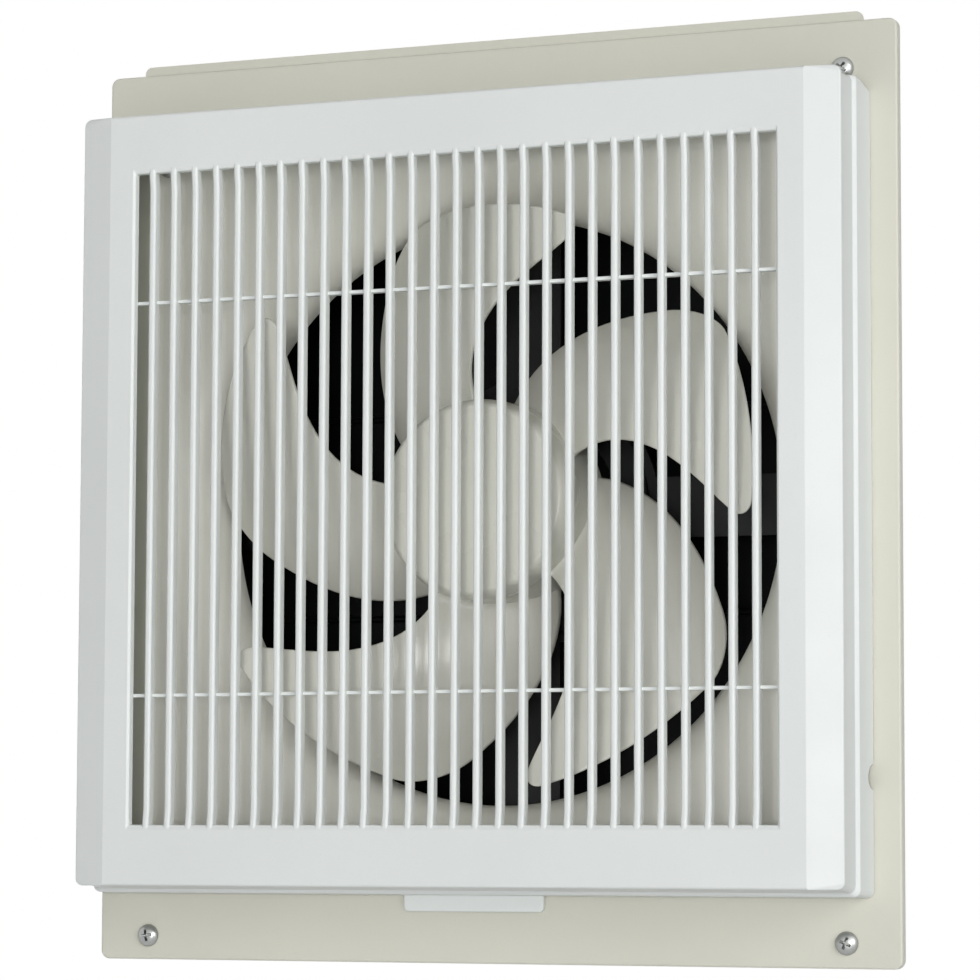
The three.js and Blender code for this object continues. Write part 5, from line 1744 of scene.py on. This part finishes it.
@dataclass
class Motor(Assembly):
    """The motor: two pressed shells, bearings, stator, windings, rotor and its bracket."""

    radius: float = 40.0
    flange: float = 54.0
    front: float = 26.0
    split: float = 45.0
    rear: float = 64.0
    gap: float = 0.3
    skin: float = 1.6
    hole: float = 5.6
    pocket: float = 9.3
    bearing: float = 9.0
    bearing_width: float = 5.5
    bore: float = 4.3
    coil_radii: Pair = (23.8, 35.1)
    core: Pair = (36.0, 54.0)
    coil: float = 5.2
    bracket: Pair = (47.2, 49.2)
    ring: float = 58.0
    reach: float = 143.7
    arm: float = 13.0
    foot: float = 15.0
    bead: tuple[float, float, float] = (62.0, 131.7, 3.0)

    def shell(self, start: float, end: float, name: str) -> bpy.types.Object:
        """One pressed shell, from its closed end to its flange.

        Args:
            start: Depth of the closed end.
            end: Depth of the flange's face.
            name: The piece's name.

        Returns:
            The shell.
        """
        way = 1 if end > start else -1
        depth = abs(end - start)
        outline = [
            (self.hole, 0.0), (self.radius - 2.6, 0.0), (self.radius, 2.6),
            (self.radius, depth - self.skin), (self.flange, depth - self.skin),
            (self.flange, depth), (self.radius - self.skin, depth),
            (self.radius - self.skin, 4.5), (self.radius - 5, self.skin),
            (self.pocket + 2, self.skin), (self.pocket + 2, self.skin + self.bearing_width),
            (self.pocket, self.skin + self.bearing_width), (self.pocket, self.skin),
            (self.hole, self.skin),
        ]
        fillets = (0.4, 2.0, 2.0, 1.2, 0.4, 0.4, 0.4, 1.0, 1.0, 0.5, 0.4, 0.4, 0.1, 0.4)
        profile = [(r, start + way * y) for r, y in rounded(outline, fillets, 4)]
        return Shape().turned(profile, 128).piece(name)

    def ring_piece(self, outline: Sequence[Pair], fillet: float, name: str) -> bpy.types.Object:
        """A turned ring with softened edges."""
        return Shape().turned(rounded(outline, [fillet] * len(outline), 3), 96).piece(name)

    def rectangle(self, radii: Pair, y: Pair) -> list[Pair]:
        """Corners of a ring's section."""
        return [(radii[0], y[0]), (radii[1], y[0]), (radii[1], y[1]), (radii[0], y[1])]

    def cross(self) -> bpy.types.Object:
        """The pressed bracket: ring, four arms, their feet and beads.

        Returns:
            The bracket.
        """
        y0, y1 = self.bracket
        disc = Shape().rod("Y", (0.0, 0.0), self.ring, (y0, y1), 0.05, 128)
        piece = disc.piece("pressed_motor_bracket")
        added = []
        a, far, deep = self.arm, self.reach, y0 + self.foot
        for side in (-1, 1):
            near = tuple(sorted((side * 30.0, side * far)))
            heel = tuple(sorted((side * (far - 2), side * far)))
            bead = tuple(sorted((side * self.bead[0], side * self.bead[1])))
            b = self.bead[2]
            for upright in (False, True):
                for x, y, z in (
                    (near, (y0, y1), (-a, a)),
                    (heel, (y0, deep), (-a, a)),
                    (bead, (y1 - 0.5, y1 + 2), (-b, b)),
                ):
                    block = Shape().block(z, y, x) if upright else Shape().block(x, y, z)
                    added.append(block.piece("part"))
        worked(piece, added, Cut.ADD)
        bore = Shape().rod("Y", (0.0, 0.0), self.radius + 1, (y0 - 2, y1 + 2), 0.05, 128)
        return worked(piece, [bore.piece("bore")], Cut.REMOVE)

    def build(self) -> None:
        """Builds and dresses the motor and its bracket."""
        for tag, start, end in (
            ("front", self.front, self.split),
            ("rear", self.rear, self.split + self.gap),
        ):
            shell = self.shell(start, end, f"pressed_shell_{tag}")
            self.dress(settled(shell, 40.0), BLACK_PAINT_WITH_PAINTED_SHADE, Body.FRAME, f"motor_shell_{tag}")
        width = self.bearing_width - self.gap
        for tag, y in (
            ("front", self.front + self.skin + self.gap),
            ("rear", self.rear - self.skin - self.bearing_width),
        ):
            outline = self.rectangle((self.bore, self.bearing), (y, y + width))
            bearing = self.ring_piece(outline, 0.5, f"sintered_bearing_{tag}")
            self.dress(settled(bearing), STEEL, Body.FRAME, f"motor_bearing_{tag}")
        for tag, y in (
            ("front", self.core[0] - self.gap - self.coil),
            ("rear", self.core[1] + self.gap),
        ):
            outline = self.rectangle(self.coil_radii, (y, y + self.coil))
            coil = self.ring_piece(outline, 1.9, f"wound_coil_{tag}")
            self.dress(settled(coil, 50.0), COPPER, Body.FRAME, f"stator_coil_{tag}")
        y0, y1 = self.core
        rotor = self.ring_piece(
            [(self.bore, y0), (16.0, y0), (16.0, y0 - 2.5), (20.0, y0 - 2.5), (20.0, y0),
             (21.0, y0), (21.0, y1), (20.0, y1), (20.0, y1 + 2.5), (16.0, y1 + 2.5),
             (16.0, y1), (self.bore, y1)],
            0.25,
            "stacked_rotor_core",
        )
        self.dress(settled(rotor), CORE_STEEL, Body.ROTOR, "rotor_core")
        self.keep("stator_core", CORE_STEEL, 0.2)
        bracket = settled(self.cross(), 32.0, 0.45)
        self.dress(bracket, BLACK_PAINT_WITH_PAINTED_SHADE, Body.FRAME, "motor_bracket")


@dataclass
class Wiring(Assembly):
    """Terminal box with its lid, block and bushing, and the capacitor in its clamp."""

    bushing_at: Pair = (123.7, 24.0)
    bushing: tuple[Pair, ...] = (
        (4.0, -146.9), (9.6, -146.9), (9.6, -145.3), (7.7, -145.3), (7.7, -142.0),
        (9.6, -142.0), (9.6, -140.4), (4.0, -140.4),
    )
    can_at: Pair = (-121.0, -121.0)
    can: tuple[Pair, ...] = (
        (0.0, 6.0), (14.0, 6.0), (14.0, 50.4), (12.6, 51.0), (11.6, 50.4), (11.0, 51.0),
        (11.0, 52.0), (0.0, 52.0),
    )
    band: Pair = (14.3, 15.5)
    band_y: Pair = (22.0, 36.0)
    floor: Pair = (-143.7, -142.5)

    def build(self) -> None:
        """Builds and dresses the wiring parts."""
        for node in ("terminal_box", "terminal_lid"):
            self.keep(node, BLACK_PAINT_WITH_PAINTED_SHADE, 0.35)
        self.keep("terminal_block", GREY_PLASTIC, 0.35)
        sleeve = Shape().turned(rounded(self.bushing, (1.0, 0.7, 0.5, 0.3, 0.3, 0.5, 0.7, 1.0), 4))
        lay = Matrix.Rotation(math.pi / 2, 4, "X")
        x, y = self.bushing_at
        sleeve.turn(Matrix.Translation((x, y, 0)) @ lay)
        bushing = sleeve.piece("moulded_cord_bushing")
        self.dress(settled(bushing, 50.0), RUBBER, Body.FRAME, "cord_bushing")

        x, z = self.can_at
        there = Matrix.Translation((x, 0, z))
        outline = rounded(self.can[1:-1], (1.6, 0.6, 0.5, 0.3, 0.2, 0.2), 3, False)
        can = Shape().turned([self.can[0], (12.4, 6.0), *outline, self.can[-1]], 96).turn(there)
        self.dress(settled(can.piece("drawn_capacitor_can"), 40.0), CAN_METAL, Body.FRAME,
                   "run_capacitor")
        r0, r1 = self.band
        y0, y1 = self.band_y
        hoop = Shape().turned([(r0, y0), (r1, y0), (r1, y1), (r0, y1)], 96).turn(there)
        clamp = hoop.piece("formed_capacitor_clamp")
        low, high = self.floor
        foot = Shape().block((x, -92.0), self.band_y, self.floor).piece("foot")
        web = Shape().block((x - 3, x + 3), self.band_y, (low, z - r0 - 0.4)).piece("web")
        worked(clamp, [foot, web], Cut.ADD)
        settled(clamp, 32.0, 0.3)
        self.dress(clamp, BLACK_PAINT_WITH_PAINTED_SHADE, Body.FRAME, "capacitor_clamp")


@dataclass
class SleeveAndShutter(Assembly):
    """The sheet sleeve and the gravity shutter at its outer end."""

    pivots: tuple[float, ...] = (136.0, 46.5, -43.0)
    pivot_y: float = 81.5
    length: float = 92.5
    lean: float = 3.7
    crown: float = 1.2
    thickness: float = 1.2
    half: float = 139.5
    hem: float = 1.6
    lip: float = 4.0
    pin: Pair = (1.3, 143.1)
    arm: tuple[float, float, float] = (112.0, 14.0, 3.0)
    steps: int = 24

    def leaf(self) -> bpy.types.Object:
        """One louvre about its own pivot: crowned leaf, hem, pins, arm and stub.

        Returns:
            The louvre.
        """
        t = self.thickness / 2
        face, back = [], []
        for i in range(self.steps + 1):
            u = i / self.steps
            y = self.lean * u + self.crown * math.sin(math.pi * u)
            face.append((y - t, -self.length * u))
            back.append((y + t, -self.length * u))
        tail = self.lean + self.lip
        low = -self.length - 2 * t
        edge = [(face[-1][0], low + 0.7), (face[-1][0] + 0.7, low), (tail, low)]
        outline = [*face[:-1], *edge, (tail, low + 2 * t), *back[:-1][::-1]]
        leaf = Shape().prism(outline, "X", (-self.half, self.half)).piece("moulded_louvre")
        hem = Shape().rod("X", (0.0, 0.0), self.hem, (-self.half, self.half), 0.3)
        radius, reach = self.pin
        pin = Shape().rod("X", (0.0, 0.0), radius, (-reach, reach), 0.4)
        x, arm, end = self.arm
        ends = (-arm - end, 0.0)
        corners = [(ends[0], -2.0), (ends[1], -2.0), (ends[1], 2.0), (ends[0], 2.0)]
        strap = Shape().prism(rounded(corners, (1.9, 0.1, 0.1, 1.9), 5), "X", (x, x + 2))
        stub = Shape().rod("X", (-arm, 0.0), 1.3, (x + 0.5, x + 6), 0.4)
        parts = [shape.piece("part") for shape in (hem, pin, strap, stub)]
        return worked(leaf, parts, Cut.ADD)

    def build(self) -> None:
        """Builds and dresses the sleeve, frame, louvres and link."""
        self.keep("wall_sleeve", BLACK_PAINT_WITH_PAINTED_SHADE, 0.3)
        self.keep("shutter_frame", SHUTTER_BLACK_WITH_PAINTED_SHADE, 0.35)
        self.keep("shutter_link", SHUTTER_BLACK_WITH_PAINTED_SHADE, 0.3)
        pattern = settled(self.leaf(), 36.0)
        tags = (Body.LOUVRE_UPPER, Body.LOUVRE_MIDDLE, Body.LOUVRE_LOWER)
        for z, body in zip(self.pivots, tags):
            piece = pattern.copy()
            piece.data = pattern.data.copy()
            piece.name = f"moulded_{body.value}"
            piece.data.transform(Matrix.Translation((0, self.pivot_y * MM, z * MM)))
            bpy.context.scene.collection.objects.link(piece)
            self.dress(piece, SHUTTER_BLACK_WITH_PAINTED_SHADE, body, f"shutter_{body.value}")
        bpy.data.objects.remove(pattern)


# ---------------------------------------------------------------- studio


@dataclass(frozen=True)
class Lamp:
    """One soft white area lamp, aimed at the origin, with its place and size in metres."""

    name: str
    at: Colour
    size: Pair
    power: float

    def build(self) -> None:
        """Hangs the lamp and aims it."""
        data = bpy.data.lights.new(self.name, "AREA")
        data.shape = "RECTANGLE"
        data.size, data.size_y = self.size
        data.energy = self.power
        lamp = bpy.data.objects.new(self.name, data)
        lamp.location = self.at
        lamp.rotation_euler = (-Vector(self.at)).to_track_quat("-Z", "Y").to_euler()
        bpy.context.scene.collection.objects.link(lamp)


@dataclass
class Studio:
    """Pale floor, white surroundings, soft lamps and the camera."""

    floor_z: float = -0.62
    floor_half: float = 9.0
    world_level: float = 0.13
    floor_shade: float = 0.82
    camera_mm: Colour = (623.129, -1532.174, -148.229)
    right: Colour = (0.92633622, 0.37668307, 0.00332695)
    up: Colour = (0.0317395, -0.08684794, 0.99571584)
    forward: Colour = (-0.37535823, 0.92226206, 0.09240613)
    lens: float = 145.15
    lamps: tuple[Lamp, ...] = (
        Lamp("key", (4.0, -3.6, 1.3), (3.4, 3.4), 156.0),
        Lamp("front", (0.73, -2.93, -0.15), (0.6, 0.6), 27.5),
        Lamp("back", (-1.6, 2.6, 1.4), (2.0, 2.0), 50.0),
    )

    def seen_white(self, graph: Nodes) -> bpy.types.NodeSocket:
        """1 for rays that come from the camera, a mirror or glass.

        Args:
            graph: The nodes that it is added to.

        Returns:
            The value's socket.
        """
        path = graph.add("LightPath")
        first = graph.add("Math", operation="MAXIMUM")
        graph.feed(first.inputs[0], path.outputs["Is Camera Ray"])
        graph.feed(first.inputs[1], path.outputs["Is Glossy Ray"])
        both = graph.add("Math", operation="MAXIMUM")
        graph.feed(both.inputs[0], first.outputs[0])
        graph.feed(both.inputs[1], path.outputs["Is Transmission Ray"])
        return both.outputs[0]

    def surroundings(self) -> None:
        """Plain light all round, white where it is seen."""
        world = bpy.data.worlds.new("surroundings")
        world.use_nodes = True
        bpy.context.scene.world = world
        graph = Nodes(world.node_tree)
        level = graph.spread(self.seen_white(graph), self.world_level, 1.0, 0.0, 1.0)
        back = graph.add("Background", {"Color": (1, 1, 1, 1), "Strength": level})
        output = graph.add("OutputWorld")
        graph.tree.links.new(back.outputs[0], output.inputs["Surface"])

    def floor(self) -> None:
        """A wide pale floor that keeps a soft shadow."""
        half, z = self.floor_half / MM, self.floor_z / MM
        shape = Shape()
        corners = [(-half, -half), (half, -half), (half, half), (-half, half)]
        row = [shape.mesh.verts.new((x, y, z)) for x, y in corners]
        shape.mesh.faces.new(row)
        floor = shape.piece("studio_floor")
        floor.data.transform(Matrix.Scale(MM, 4))
        graph = Graph("studio_floor")
        pale = graph.mix(graph.noise(FLOOR_SCALE, 3.0), (0.86, 0.86, 0.86), (0.9, 0.9, 0.9))
        graph.surface(Base_Color=pale, Roughness=0.9)
        glow = graph.add("Emission", {"Color": (1, 1, 1, 1), "Strength": 1.0})
        share = graph.times(self.seen_white(graph), self.floor_shade)
        both = graph.add("MixShader")
        graph.feed(both.inputs[0], share)
        graph.tree.links.new(graph.shader.outputs[0], both.inputs[1])
        graph.tree.links.new(glow.outputs[0], both.inputs[2])
        graph.tree.links.new(both.outputs[0], graph.output.inputs["Surface"])
        floor.data.materials.append(graph.material)

    def camera(self) -> None:
        """The camera at the photograph's place and angle."""
        data = bpy.data.cameras.new("camera")
        data.lens = self.lens
        data.sensor_width = 36.0
        data.clip_start, data.clip_end = 0.05, 100.0
        eye = bpy.data.objects.new("camera", data)
        columns = (Vector(self.right), Vector(self.up), -Vector(self.forward))
        turn = Matrix(columns).transposed().to_4x4()
        eye.matrix_world = Matrix.Translation(Vector(self.camera_mm) * MM) @ turn
        bpy.context.scene.collection.objects.link(eye)
        bpy.context.scene.camera = eye

    def build(self) -> None:
        """Sets up the studio."""
        bpy.context.scene.view_settings.view_transform = "Standard"
        self.camera()
        self.surroundings()
        self.floor()
        for lamp in self.lamps:
            lamp.build()
        LOG.info("studio with %d lamps", len(self.lamps))


def main() -> None:
    """Builds the studio and every sub-assembly."""
    logging.basicConfig(level=logging.INFO, format="%(message)s")
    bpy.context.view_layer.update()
    Studio().build()
    for assembly in (
        MountingPlate(),
        OrificePanel(),
        FanWheel(),
        FrontCover(),
        Screws(),
        HingeAndCatch(),
        Motor(),
        Wiring(),
        SleeveAndShutter(),
    ):
        assembly.build()


if __name__ == "__main__":
    main()
